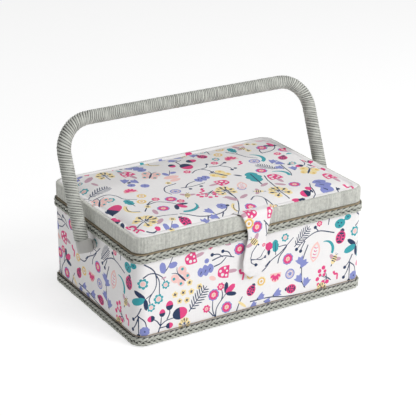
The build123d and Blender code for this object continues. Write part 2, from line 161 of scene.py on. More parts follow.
def copied(node, name, bevel, segments=3, angle=35.0):
    """A merged copy of a CAD node's mesh, its sharp edges rounded off, that stands for the node."""
    made = linked(name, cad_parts[node].data.copy())
    in_edit(
        made,
        (bpy.ops.mesh.remove_doubles, {"threshold": 0.000005}),
        (bpy.ops.mesh.dissolve_limited, {"angle_limit": math.radians(0.5)}),
    )
    limit = {"limit_method": "ANGLE", "angle_limit": math.radians(angle)}
    modify(made, "BEVEL", width=bevel * MM, segments=segments, **limit)
    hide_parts(node)
    return softened(made)


def lay_uv(made, values):
    """Stores one (u, v) pair, in metres, for each face corner."""
    made.data.uv_layers.new(name="run").data.foreach_set("uv", (np.asarray(values, float) * MM).ravel())
    return made


def shaded(made, tone, hollow_shade):
    """Stores how light a cord is and how much painted shade darkens it where cords meet, one number for all
    or one for each point.
    """
    for name, value in (("tone", tone), ("hollow_shade", hollow_shade)):
        values = np.broadcast_to(np.ravel(value).astype(np.float32), len(made.data.vertices))
        made.data.attributes.new(name, "FLOAT", "POINT").data.foreach_set("value", values.copy())
    return made


def lattice(name, points, along, across, ring=(True, True), crossed=False):
    """A skin over an (n, m, 3) array of points, closed in either direction, with its own UV map.

    along and across are the distances of the columns and rows, one longer than the array where it
    closes. A crossed map swaps them, for a cord that is wound across the skin.
    """
    n, m = points.shape[:2]
    spans = np.arange(n if ring[0] else n - 1), np.arange(m if ring[1] else m - 1)
    rows, columns = (a.ravel() for a in np.meshgrid(*spans, indexing="ij"))
    corners = ((rows, columns), (rows + 1, columns), (rows + 1, columns + 1), (rows, columns + 1))
    faces = np.stack([(r % n) * m + c % m for r, c in corners], axis=1)
    uv = np.stack([np.stack([along[r], across[c]], axis=1) for r, c in corners], axis=1)
    return lay_uv(place(name, points.reshape(-1, 3), faces), uv[..., ::-1] if crossed else uv)


def tubes(name, lines, outward, radius, sides=6):
    """Closed cords: lines is (count, n, 3), each a loop, and outward (n, 3) gives a steady side direction."""
    count, n = lines.shape[:2]
    ahead = np.roll(lines, -1, axis=1) - np.roll(lines, 1, axis=1)
    ahead /= np.linalg.norm(ahead, axis=2, keepdims=True)
    first = np.cross(ahead, outward)
    first /= np.linalg.norm(first, axis=2, keepdims=True)
    second = np.cross(first, ahead)
    angles = (TURN * np.arange(sides) / sides)[:, None]
    ring = first[:, :, None] * np.cos(angles) + second[:, :, None] * np.sin(angles)
    points = lines[:, :, None] + radius * ring
    strand, step, side = (
        a.ravel() for a in np.meshgrid(np.arange(count), np.arange(n), np.arange(sides), indexing="ij")
    )
    corners = ((step, side), (step + 1, side), (step + 1, side + 1), (step, side + 1))
    faces = np.stack([(strand * n + p % n) * sides + q % sides for p, q in corners], axis=1)
    pace = np.linalg.norm(np.roll(lines, -1, axis=1) - lines, axis=2)
    run = np.concatenate([np.zeros((count, 1)), np.cumsum(pace, axis=1)], axis=1)
    breadth = TURN * radius / sides
    uv = np.stack([np.stack([run[strand, p], q * breadth], axis=1) for p, q in corners], axis=1)
    return lay_uv(place(name, points.reshape(-1, 3), faces), uv)


def hoop(length, width, corner, s):
    """Points and outward directions at distances s round a rounded rectangle.

    s starts at the middle of the back and runs anticlockwise, seen from above.
    """
    half, deep, arc = length / 2 - corner, width / 2 - corner, math.pi * corner / 2
    legs = np.array([half, arc, 2 * deep, arc, 2 * half, arc, 2 * deep, arc, half])
    ends = np.cumsum(legs)
    s = np.asarray(s, float) % ends[-1]
    leg = np.minimum(np.searchsorted(ends, s, side="right"), 8)
    done = s - (ends - legs)[leg]
    bending = leg % 2 == 1
    facing = (leg // 2 + 1) * math.pi / 2 + np.where(bending, done / corner, 0)
    out = np.stack([np.cos(facing), np.sin(facing)], axis=-1)
    ahead = np.stack([-out[..., 1], out[..., 0]], axis=-1)
    start = np.array([[0, 1], *[[-1, 1]] * 2, *[[-1, -1]] * 2, *[[1, -1]] * 2, *[[1, 1]] * 2])
    centre = start[leg] * (half, deep)
    points = centre + corner * out + np.where(bending, 0, done)[..., None] * ahead
    return points, out


def girth(length, width, corner):
    """The distance once round a rounded rectangle."""
    return 2 * (length + width) - (8 - TURN) * corner


def rounds(size, n):
    """n even distances round a rounded rectangle, with their points and outward directions in 3-D."""
    s = np.arange(n) * girth(*size) / n
    base, facing = (np.column_stack([a, np.zeros(n)]) for a in hoop(*size, s))
    return s, base, facing


def girdle(name, size, stations, outs, ups, across):
    """A skin all the way round the box: outs and ups are offsets and heights, for each station or for all."""
    base, facing = hoop(*size, stations)
    outs, ups = (np.broadcast_to(a, (len(stations), np.shape(a)[-1])) for a in (outs, ups))
    flat = base[:, None] + outs[..., None] * facing[:, None]
    points = np.concatenate([flat, ups[..., None]], axis=2)
    return lattice(name, points, np.append(stations, girth(*size)), across)


def wander(seed, places, scale):
    """Smooth noise between about -1 and 1 at each of these distances."""
    return np.array([noise.noise(Vector((p / scale, seed * 7.3, 0.4))) * 2 for p in np.ravel(places)])


def ringed_noise(s, loop, radius, level):
    """Smooth noise at a distance s round the box, which joins up with itself after one loop."""
    angle = s / loop * TURN
    return noise.noise(Vector((math.cos(angle) * radius, math.sin(angle) * radius, level)))


# ---- finishes -------------------------------------------------------------------------------------
class Wire:
    """A shader socket that can be written in sums."""

    def __init__(self, finish, socket):
        self.finish, self.socket = finish, socket

    def _math(self, operation, *values):
        return self.finish.node("ShaderNodeMath", {"operation": operation}, *values)

    def __add__(self, other):
        return self._math("ADD", self, other)

    def __sub__(self, other):
        return self._math("SUBTRACT", self, other)

    def __mul__(self, other):
        return self._math("MULTIPLY", self, other)

    def sine(self):
        return self._math("SINE", self)

    def clipped(self, low, high):
        """0 at low, 1 at high and a straight ramp between."""
        return self.finish.node("ShaderNodeMapRange", {"clamp": True}, self, low, high, 0.0, 1.0)

    __radd__ = __add__
    __rmul__ = __mul__


class Finish:
    """A material in the making: nodes are added by kind, and numbers go through Wire."""

    def __init__(self, name):
        self.material = bpy.data.materials.new(name)
        self.material.use_nodes = True
        self.tree = self.material.node_tree
        self.shader = self.tree.nodes["Principled BSDF"]

    def feed(self, socket, value):
        """Links a Wire to a socket, or sets a plain value on it."""
        if isinstance(value, Wire):
            self.tree.links.new(value.socket, socket)
        elif value is not None:
            socket.default_value = value

    def node(self, kind, settings=None, *values, out=0, **named):
        made = self.tree.nodes.new(kind)
        for key, value in (settings or {}).items():
            setattr(made, key, value)
        usable = [socket for socket in made.inputs if socket.enabled]
        for socket, value in [*zip(usable, values), *((made.inputs[k], v) for k, v in named.items())]:
            self.feed(socket, value)
        outputs = [socket for socket in made.outputs if socket.enabled]
        return Wire(self, made.outputs[out] if isinstance(out, str) else outputs[out])

    def mapped(self, where, scale, turn=0.0):
        return self.node("ShaderNodeMapping", None, where, (0, 0, 0), (0, 0, turn), scale)

    def place(self, scale=(1.0, 1.0, 1.0)):
        return self.mapped(self.node("ShaderNodeTexCoord", None, out="Object"), scale)

    def uv(self):
        return self.node("ShaderNodeUVMap", {"uv_map": "run"})

    def run(self, axis):
        """Metres along (0) or across (1) the piece's own UV map."""
        return self.node("ShaderNodeSeparateXYZ", None, self.uv(), out=axis)

    def stored(self, name, out="Fac"):
        return self.node("ShaderNodeAttribute", {"attribute_name": name}, out=out)

    def noise(self, where, scale, detail=3.0, rough=0.6):
        return self.node("ShaderNodeTexNoise", None, where, Scale=scale, Detail=detail, Roughness=rough)

    def tint(self, colour, factor):
        """A colour times a number."""
        grey = self.node("ShaderNodeCombineColor", None, factor, factor, factor)
        return self.node("ShaderNodeMix", {"data_type": "RGBA", "blend_type": "MULTIPLY"}, 1.0, colour, grey)

    def blend(self, first, second, factor):
        return self.node("ShaderNodeMix", {"data_type": "RGBA"}, factor, first, second)

    def bump(self, height, depth, strength=1.0):
        """A bump from a height between 0 and 1 that stands for this many metres."""
        return self.node("ShaderNodeBump", None, Strength=strength, Distance=depth, Height=height)

    def done(self, **sockets):
        for key, value in sockets.items():
            self.feed(self.shader.inputs[key.replace("_", " ")], value)
        return self.material


def linear(red, green, blue):
    """A colour given as it looks on a screen, 0 to 255, as the light values a shader needs."""
    parts = [v / 255 for v in (red, green, blue)]
    return tuple((v / 12.92 if v <= 0.04045 else ((v + 0.055) / 1.055) ** 2.4) for v in parts) + (1.0,)


def woven(finish, pitch):
    """The height, 0 to 1, of a plain weave of this thread pitch in metres, and its slubs."""
    warp, weft = ((finish.run(axis) * (math.pi / pitch)).sine() for axis in (0, 1))
    stretches = ((90.0, 1500.0, 1.0), (1500.0, 90.0, 1.0))
    slubs = [finish.noise(finish.mapped(finish.uv(), stretch), 1.0, 1.0) for stretch in stretches]
    return (warp * weft).clipped(-1.0, 1.0), (slubs[0] + slubs[1]) * 0.5


def printed_cotton():
    """Off-white slubbed cotton with a printed pattern stored on its faces."""
    finish = Finish("printed_cotton")
    weave, slubs = woven(finish, 0.00062)
    ink = finish.stored("ink", "Color")
    # weave darkens the colour where threads dip, painted shade of the weave; slubs are the yarn's own tone
    shade = 0.93 + weave * 0.05 + (slubs - 0.5) * 0.16
    return finish.done(
        Base_Color=finish.tint(ink, shade),
        Roughness=0.82 + slubs * 0.12,
        Normal=finish.bump(weave * 0.6 + slubs * 0.8, 0.00016, 0.7),
        Sheen_Weight=0.15,
        Sheen_Roughness=0.5,
        Specular_IOR_Level=0.25,
    )


def twisted_cord(name, colour, pitch, dark=0.45, grain=(55.0, 0.12)):
    """Twisted paper cord: strands wind round each cord, and the gaps between cords are painted darker,
    painted shade.

    grain is how fine its blotches are, per metre, and how strong; dark is how dark the painted shade in the
    gaps gets.
    """
    finish = Finish(name)
    along, around = finish.run(0), finish.run(1)
    ply = ((along * (TURN / pitch)) + around * (TURN / pitch * 1.1)).sine().clipped(-1.0, 1.0)
    fibres = finish.noise(finish.mapped(finish.uv(), (300.0, 3200.0, 1.0), 0.5), 1.0, 3.0)
    blotch = finish.noise(finish.place(), grain[0], 2.0)
    # ply darkens the grooves of the twist: painted shade. fibres, blotch and the stored tone are the paper's
    # own colour.
    shade = 0.82 + ply * 0.12 + (fibres - 0.5) * 0.35 + (blotch - 0.5) * grain[1]
    body = finish.tint(colour, shade * finish.stored("tone"))
    # deep is the painted shade colour that the stored gap value blends towards.
    deep = tuple(c * dark * 0.45 for c in colour[:3]) + (1.0,)
    return finish.done(
        Base_Color=finish.blend(body, deep, finish.stored("hollow_shade")),
        Roughness=0.62 + fibres * 0.3,
        Normal=finish.bump(ply * 0.8 + fibres * 0.6, 0.00025, 0.8),
        Specular_IOR_Level=0.35,
        Sheen_Weight=0.1,
    )


def plain_cotton(name, colour, pitch=0.0007):
    """Unprinted woven cotton."""
    finish = Finish(name)
    weave, slubs = woven(finish, pitch)
    blotch = finish.noise(finish.place(), 30.0, 2.0)
    # weave darkens the colour where threads dip, painted shade of the weave; slubs and blotch are the cloth's
    # own tone
    shade = 0.9 + weave * 0.07 + (slubs - 0.5) * 0.18 + (blotch - 0.5) * 0.06
    return finish.done(
        Base_Color=finish.tint(colour, shade),
        Roughness=0.85 + slubs * 0.1,
        Normal=finish.bump(weave * 0.7 + slubs * 0.7, 0.0002, 0.8),
        Sheen_Weight=0.2,
        Specular_IOR_Level=0.2,
    )


def pressed_board():
    """Brown fibre board with flecks."""
    finish = Finish("pressed_board")
    where = finish.place()
    grain = finish.noise(where, 900.0, 4.0, 0.7)
    flecks = finish.noise(finish.place((1.0, 1.0, 5.0)), 260.0, 2.0).clipped(0.55, 0.75)
    base = finish.blend(linear(176, 140, 100), linear(120, 88, 58), flecks)
    return finish.done(
        Base_Color=finish.tint(base, 0.85 + grain * 0.3),
        Roughness=0.75 + grain * 0.2,
        Normal=finish.bump(grain, 0.0002, 0.6),
    )


def moulded(name, colour, rough=0.38, coat=0.0):
    """Moulded plastic with a faint orange-peel surface and slight handling marks."""
    finish = Finish(name)
    where = finish.place()
    peel = finish.noise(where, 700.0, 2.0)
    marks = finish.noise(where, 40.0, 5.0, 0.7) - 0.5
    return finish.done(
        Base_Color=finish.tint(colour, 0.96 + marks * 0.1),
        Roughness=rough + marks * 0.16,
        Normal=finish.bump(peel, 0.00002, 0.5),
        Coat_Weight=coat,
        Coat_Roughness=0.2,
        Specular_IOR_Level=0.45,
    )


def plated_steel():
    """Nickel-plated steel, faintly brushed and a little dull in places."""
    finish = Finish("plated_steel")
    brushed = finish.noise(finish.place((1.0, 1.0, 14.0)), 600.0, 3.0)
    dull = finish.noise(finish.place(), 120.0, 4.0, 0.7)
    return finish.done(
        Base_Color=finish.tint((0.62, 0.61, 0.58, 1.0), 0.88 + dull * 0.2),
        Metallic=1.0,
        Roughness=0.22 + dull * 0.22 + brushed * 0.08,
        Normal=finish.bump(brushed, 0.00002, 0.4),
    )


def felted(name, colour):
    """Bonded fibre sheet."""
    finish = Finish(name)
    where = finish.place()
    fuzz = finish.noise(where, 1400.0, 4.0, 0.75)
    dimples = finish.node("ShaderNodeTexVoronoi", {"feature": "F1"}, where, Scale=420.0)
    # dimples darken the colour in each pit: painted shade; fuzz is the sheet's own tone
    shade = 0.86 + (fuzz - 0.5) * 0.3 + dimples * 0.12
    return finish.done(
        Base_Color=finish.tint(colour, shade),
        Roughness=0.9 + fuzz * 0.08,
        Normal=finish.bump(fuzz * 0.5 + dimples, 0.0003, 0.7),
        Sheen_Weight=0.2,
        Specular_IOR_Level=0.2,
    )


def knitted_elastic():
    """Narrow white elastic with ribs across it."""
    finish = Finish("knitted_elastic")
    ribs = (finish.run(0) * (TURN / 0.0011)).sine().clipped(-1.0, 1.0)
    edges = (finish.run(1) * (TURN / 0.0008)).sine().clipped(-1.0, 1.0)
    # ribs and edges darken the colour between the ribs: painted shade of the knit
    return finish.done(
        Base_Color=finish.tint(linear(236, 234, 230), 0.84 + ribs * 0.1 + edges * 0.06),
        Roughness=0.8 + ribs * 0.1,
        Normal=finish.bump(ribs * 0.7 + edges * 0.5, 0.00025, 0.8),
        Sheen_Weight=0.2,
    )


CORD_GREY = linear(210, 212, 202)
COTTON = printed_cotton()
WRAP_CORD = twisted_cord("wrapped_paper_cord", linear(224, 225, 217), 0.0011, 0.3, (420.0, 0.6))
PLAIT_CORD = twisted_cord("plaited_paper_cord", CORD_GREY, 0.0016, 0.2, (300.0, 0.35))
HANDLE_CORD = twisted_cord("handle_paper_cord", linear(220, 222, 214), 0.0016, 0.15, (300.0, 0.3))
TWINE = twisted_cord("tan_twine", linear(186, 168, 146), 0.0009)
LINING = plain_cotton("lining_cotton", linear(222, 221, 220))
CUSHION_COTTON = plain_cotton("cushion_cotton", linear(222, 118, 158), 0.0006)
BOARD = pressed_board()
CAP_PLASTIC = moulded("cap_plastic", linear(188, 187, 183))
CORE_PLASTIC = moulded("core_plastic", linear(120, 120, 118), 0.5)
TRAY_PLASTIC = moulded("tray_plastic", linear(236, 237, 238), 0.3, 0.15)
STEEL = plated_steel()
UNDER_SHEET = felted("under_sheet", linear(120, 121, 118))
ELASTIC = knitted_elastic()


def dress(made, material, body, slot, *nodes):
    """Gives a piece its material and its body, and hides the CAD nodes it stands for; slot is not used."""
    made.data.materials.clear()
    made.data.materials.append(material)
    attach(made, body)
    if nodes:
        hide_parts(*nodes)
    return made


def finished(made, *looks):
    """Turns a built piece's faces outwards, shades it smooth and dresses it."""
    outwards(made)
    made.data.shade_smooth()
    return dress(made, *looks)


# ---- the print: every motif is a list of (ink, outline), in millimetres, growing upwards from 0 ----
PINK = linear(233, 74, 136)
NAVY = linear(44, 62, 96)
TEAL = linear(62, 168, 178)
LILAC = linear(140, 148, 208)
BLUSH = linear(250, 206, 200)
YELLOW = linear(251, 229, 168)
OCHRE = linear(236, 190, 104)
MAUVE = linear(206, 166, 182)
GROUND = linear(246, 244, 244)
# painted shade along the closing tab's edge
TAB_EDGE_SHADE = linear(112, 98, 92)


def up(degrees):
    """A direction, where 0 is upwards and angles turn anticlockwise."""
    return 1j * cmath.exp(1j * math.radians(degrees))


def disc(radius, at=0, stretch=1.0, count=16):
    turns = [TURN * i / count for i in range(count)]
    return [at + complex(radius * stretch * math.cos(a), radius * math.sin(a)) for a in turns]


def rosette(radius, petals, depth, at=0):
    """Rounded petals round a middle."""
    turns = [TURN * i / (petals * 8) for i in range(petals * 8)]
    return [
        at + cmath.rect(radius * (1 - depth + depth * abs(math.cos(petals * a / 2)) ** 0.8), a + 0.3)
        for a in turns
    ]


def leaf(start, end, width, blunt=0.7):
    """A pointed leaf between two points."""
    spine = end - start
    side = 1j * spine / abs(spine) * width / 2
    steps = [i / 8 for i in range(9)]
    left = [start + spine * t + side * math.sin(math.pi * t) ** blunt for t in steps]
    right = [start + spine * t - side * math.sin(math.pi * t) ** blunt for t in steps[-2:0:-1]]
    return left + right


def stroke(points, width):
    """A drawn line of this width through the points, a little thinner towards its end."""
    padded = [2 * points[0] - points[1], *points, 2 * points[-1] - points[-2]]
    line = []
    for a, b, c, d in zip(padded, padded[1:], padded[2:], padded[3:]):
        for t in (i / 6 for i in range(6)):
            bend, twist = 2 * a - 5 * b + 4 * c - d, 3 * b - a - 3 * c + d
            line.append(0.5 * (2 * b + (c - a) * t + bend * t**2 + twist * t**3))
    line.append(points[-1])
    left, right = [], []
    for i, p in enumerate(line):
        ahead = line[min(i + 1, len(line) - 1)] - line[max(i - 1, 0)]
        side = 1j * ahead / (abs(ahead) or 1) * width / 2 * (1 - 0.35 * i / len(line))
        left.append(p + side)
        right.append(p - side)
    return left + right[::-1]


def half_disc(radius, at, degrees, stretch=1.0):
    arc = [cmath.rect(radius, math.pi * i / 12) for i in range(13)]
    return [at + up(degrees) * -1j * complex(p.real, p.imag * stretch) for p in arc]


def ringed_flower():
    return [(LILAC, rosette(6.3, 9, 0.1)), (PINK, rosette(5.2, 8, 0.12)), (BLUSH, rosette(2.7, 6, 0.22)),
            (OCHRE, disc(0.8))]


def teal_flower():
    return [(TEAL, rosette(5.7, 7, 0.27)), (GROUND, disc(3.1)), (BLUSH, disc(2.6))]


def small_flower():
    return [(PINK, rosette(4.3, 7, 0.26)), (BLUSH, rosette(2.1, 5, 0.2)), (PINK, disc(0.6))]


def blossom():
    return [(YELLOW, rosette(3.5, 5, 0.3)), (NAVY, rosette(1.75, 4, 0.72))]


def ring_flower():
    return [(YELLOW, rosette(5.2, 9, 0.12)), (OCHRE, disc(4.1)), (GROUND, disc(2.9)), (OCHRE, disc(1.4))]


def double_ring():
    return [(LILAC, disc(5.6, count=24)), (GROUND, disc(4.2, count=24)), (MAUVE, disc(3.8)),
            (GROUND, disc(3.0)), (LILAC, rosette(2.5, 5, 0.4))]


def toadstool():
    turns = np.linspace(-0.35, math.pi + 0.35, 23)
    wide = [math.copysign(abs(math.cos(a)) ** 0.6, math.cos(a)) for a in turns]
    cap = [complex(7.0 * w, 3.4 + 12 * max(math.sin(a), -0.12)) for a, w in zip(turns, wide)]
    spots = (-4.0 + 4.8j, 0.9 + 4.4j, 4.3 + 7.2j, -2.9 + 9.4j, 1.3 + 12.2j)
    sizes = (1.5, 1.2, 1.5, 1.9, 1.6)
    return [(MAUVE, leaf(-8j, 5j, 4.2, 0.35)), (PINK, cap)] + [
        (GROUND, disc(r, p, count=10)) for p, r in zip(spots, sizes)
    ]


def ladybird():
    right = (2.6 + 1.4j, 3.0 - 1.6j, 1.4 - 4.2j)
    dots = (*right, *(-p.conjugate() for p in right), -1.3 + 3.7j, 1.4 + 3.7j)
    body = [(NAVY, rosette(2.3, 5, 0.2, 6.2j)), (PINK, disc(6.2, 0, 0.86, 24)),
            (NAVY, stroke([5.8j, -5.8j], 0.9))]
    return body + [(NAVY, disc(0.9, p, 1.5, 8)) for p in dots]


def butterfly(ink=BLUSH, spot=TEAL):
    wings = ((-5.5 + 4.5j, 5.6), (5.5 + 4.5j, 5.6), (-4.4 - 4.2j, 4.6), (4.4 - 4.2j, 4.6))
    feelers = [stroke([5j, side * 1.5 + 9j, side * 4.2 + 12j], 0.95) for side in (-1, 1)]
    shapes = [(ink, disc(r, p, 0.8)) for p, r in wings]
    shapes += [(spot, rosette(1.8, 5, 0.3, p * 1.2)) for p, _ in wings]
    return shapes + [(NAVY, shape) for shape in (leaf(-8j, 6.5j, 2.2, 0.4), *feelers)]


def bee():
    wings = [(MAUVE, leaf(0, side * 8 + 3.5j, 4.2, 0.4)) for side in (-1, 1)]
    bands = [stroke([complex(-2.5, y), complex(2.5, y)], 1.25) for y in (3.0, 0.7, -1.6)]
    feelers = [stroke([5j, side * 1.6 + 7.4j], 0.55) for side in (-1, 1)]
    dark = [(NAVY, shape) for shape in (*bands, *feelers, leaf(-5j, -8j, 1.4))]
    return wings + [(YELLOW, disc(5.4, 0, 0.55))] + dark


def bud():
    return [(PINK, half_disc(4.2, 0, 0, 1.3)), (NAVY, half_disc(4.2, 0.25j, 180, 1.25))]


def shell():
    shapes = [(BLUSH, half_disc(6.6, 0, 0, 1.5))]
    for i in range(5):
        angle = math.radians(150 - 30 * i)
        tip = complex(8.4 * math.cos(angle), 1.35 * 8.2 * math.sin(angle)) * 0.86
        shapes.append((PINK, leaf(tip * 0.25, tip, 2.7, 0.8)))
    return shapes


def crescent(ink=TEAL):
    turns = np.linspace(0.25, 2.6, 15)
    outer = [complex(11 * math.cos(a), 11 * math.sin(a)) for a in turns]
    inner = [complex(10.2 * math.cos(a) - 1.6, 10.2 * math.sin(a) - 2.0) for a in turns[::-1]]
    return [(ink, [p - 9j for p in outer + inner[1:-1]])]


def lobed(length, breadth, blunt, depth, count):
    """A leaf with three lobes on each side, growing upwards."""
    shape = []
    for side in (1, -1):
        for t in np.linspace(0.02, 0.98, count)[::side]:
            wave = 1 - depth + depth * abs(math.sin(3 * math.pi * t))
            shape.append(complex(side * breadth * math.sin(math.pi * t) ** blunt * wave, length * t))
    return shape


def lobed_leaf():
    return [(TEAL, lobed(16, 5.0, 0.5, 0.26, 25)), (NAVY, stroke([-4j, 4j, 13j], 0.95))]


def fern():
    shapes = [(NAVY, stroke([-1j, 14j, 29j], 1.2))]
    for i in range(8):
        y, size = 2.0 + 3.2 * i, 9.6 * math.sin(math.pi * (i + 2.6) / 12)
        for side in (-1, 1):
            shapes.append((NAVY, leaf(y * 1j, complex(side * size * 0.8, y + size * 0.6), 1.2, 0.4)))
    return shapes


def bell():
    cup = [-1.2, -3.8 + 4.6j, -5.0 + 9.0j, -2.2 + 7.8j, 10.4j, 2.2 + 7.8j, 5.0 + 9.0j, 3.8 + 4.6j, 1.2]
    return [(LILAC, cup), (NAVY, disc(0.9, -0.4j, count=8))]


def berries():
    ends = (-9 + 14j, -4 + 18j, 1 + 17j, 5 + 20j, -10 + 7j, -5 + 9j, 7 + 13j, 10 + 17j, 3 + 12j, -3 + 4j)
    shapes = [(NAVY, stroke([0, 1 + 6j, end * 0.55 + 2j, end], 1.0)) for end in ends[::2]]
    return shapes + [(PINK, rosette(2.0 + 0.5 * (i % 2), 6, 0.1, end)) for i, end in enumerate(ends)]


def fan():
    return [(NAVY, leaf(0, 12.5 * up(50), 4.6, 0.35)), (PINK, leaf(0, 13j, 6.6, 0.35)),
            (NAVY, leaf(0, 12.5 * up(-52), 4.6, 0.35))]


def heart_pair():
    return [(NAVY, stroke([-5 - 6j, 0, 5 + 9j], 1.1)), (LILAC, leaf(-5 - 6j, -7 + 6j, 6.8, 0.4)),
            (LILAC, leaf(0, 10 + 1j, 6.4, 0.4))]


def squiggle():
    return [(PINK, stroke([-2.4 + 6j, -1.2 + 2j, 2.0 + 0.6j, 0.8 - 6j], 3.0))]


def drop():
    ticks = [(PINK, stroke([complex(-1.7, y), complex(0, y - 0.8), complex(1.7, y)], 0.8))
             for y in (-4.4 + 2.8 * i for i in range(4))]
    return [(BLUSH, leaf(-9j, 9j, 9.5, 0.75)), (GROUND, leaf(-7.4j, 6.6j, 6.6, 0.75))] + ticks


def blossom_branch():
    shapes = [(NAVY, stroke([-11j, -2j, 1 + 9j], 1.2))]
    for end in (-6 - 2j, -7 + 5j, -3 + 10j, 4 + 10j, 7 + 4j, 6 - 3j, 11j):
        shapes += [(YELLOW, rosette(4.2, 5, 0.3, end)), (NAVY, stroke([end * 0.2 + 1j, end], 1.0)),
                   (NAVY, leaf(end * 0.8, end * 1.3, 2.6, 0.5))]
    return shapes


def sepal_flower():
    return [(NAVY, leaf(-11j, -2j, 3.6, 0.6)), (PINK, rosette(5.0, 6, 0.12))]


def lilac_bloom():
    return [(LILAC, rosette(5.4, 8, 0.12)), (NAVY, rosette(1.1, 4, 0.7))]


def yellow_sickle():
    return crescent(YELLOW) + [(NAVY, stroke([-7.6 - 4.2j, 0.4j, 7.4 - 4.6j], 1.0))]


def mauve_leaf():
    return [(MAUVE, leaf(-5j, 5.5j, 4.0, 0.45))]


def lilac_leaf():
    veins = [(NAVY, stroke([complex(0.4, y), complex(1.6 * (-1) ** y, y + 1.6)], 0.7)) for y in (3, 7, 11)]
    return [(LILAC, lobed(15, 4.9, 0.35, 0.42, 31))] + veins


def twin_discs():
    spots = [(NAVY, disc(0.8, p, 1.2, 8)) for p in (-2.4 + 1.4j, 1.8 + 0.4j, -0.6 - 2.4j, 9.6 + 5.2j)]
    return [(TEAL, disc(5.2, 0, 1.25)), (TEAL, disc(3.2, 9.4 + 5j, 1.3)),
            (TEAL, stroke([0j, 9 + 4.6j], 2.4))] + spots


def pink_bell():
    return [(PINK, leaf(-7j, 6.5j, 8.0, 0.5)), (GROUND, leaf(-4.4j, 3.4j, 3.4, 0.5)),
            (PINK, stroke([-6j, -11j], 1.5))]


def blush_leaf():
    return [(BLUSH, leaf(-5j, 6j, 5.6, 0.5))]


def yellow_butterfly():
    return butterfly(YELLOW, OCHRE)


def corner_fan():
    return [(NAVY, leaf(0, 13.5 * up(-38), 4.6, 0.4)), (TEAL, leaf(0, 15 * up(18), 7.4, 0.45)),
            (NAVY, leaf(0, 11.5 * up(95), 4.4, 0.45))]


def dot():
    return [(NAVY, disc(1.9))]


def dot_pink():
    return [(PINK, rosette(2.9, 5, 0.1))]


REPEAT = 245.0  # the roller print's repeat along the box
# Where each motif stands on one repeat: right, down from the top of the wall, turn in degrees and size.
WALL_PRINT = {
    ringed_flower: ((113, 19), (84, 61), (99, 78), (170, 43)),
    teal_flower: ((7, 31), (31, 37, 0, 0.78), (23, 50, 0, 0.95), (15, 57, 0, 0.8), (166, 19, 0, 0.8),
                  (61, 8, 0, 0.6)),
    small_flower: ((92, 54), (76, 74), (141, 21, 0, 0.5), (207, 13, 0, 0.8), (80, 9, 0, 0.7)),
    blossom: ((57, 41), (41, 50), (50, 50, 20), (59, 51), (68, 48, 40), (46, 58, 0, 0.9), (54, 59, 15)),
    ring_flower: ((139, 60), (126, 50, 0, 0.9)),
    double_ring: ((173, 60),),
    lilac_bloom: ((8, 81), (76, 23, 0, 0.5)),
    toadstool: ((66, 15, 102, 0.92), (103, 40, 84, 0.95)),
    ladybird: ((127, 67, -30, 0.95), (175, 77, 80, 0.95), (234, 34, -15, 1.15)),
    fern: ((57, 71, -42, 1.0), (178, 31, -44, 0.85)),
    bell: ((187, 53, 25), (186, 56, -40), (187, 72, 35), (191, 78, -25), (135, 78, -72, 0.85),
           (154, 79, -72, 0.95), (143, 83, -100, 0.75), (127, 85, -66, 0.75)),
    lilac_leaf: ((84, 31, 100, 1.25),),
    heart_pair: ((34, 19, 0, 1.0),),
    fan: ((98, 63, -52, 1.0),),
    corner_fan: ((9, 47, 90, 1.05),),
    butterfly: ((48, 33, 42, 0.95),),
    blush_leaf: ((83, 43, 60, 0.8),),
    mauve_leaf: ((100, 11, 80, 0.7), (123, 20, -60, 0.8), (134, 13, -60, 0.9)),
    drop: ((203, 43, -12, 1.25),),
    shell: ((156, 55, 176, 1.0),),
    berries: ((224, 79, 62, 0.95),),
    crescent: ((222, 38, -45, 1.0),),
    bee: ((227, 57, -28, 1.0),),
    squiggle: ((116, 47, 0, 1.0), (230, 75, 10, 0.9)),
    lobed_leaf: ((155, 32, 4, 0.85),),
    twin_discs: ((232.5, 18.5, 0, 1.0),),
    bud: ((35, 60, 0, 0.95), (27, 66, 0, 0.78), (15, 69, 90, 0.78), (46, 71, -86, 1.55),
          (34.5, 81, -90, 0.75)),
    sepal_flower: ((147, 24, 0, 0.9),),
    blossom_branch: ((51, 86, 0, 0.62), (213, 88, 20, 0.6)),
    dot: ((82, 18), (94, 17), (180, 35), (185, 38), (202, 16), (142, 34), (131, 39), (241, 69), (240, 80),
          (247, 85)),
}
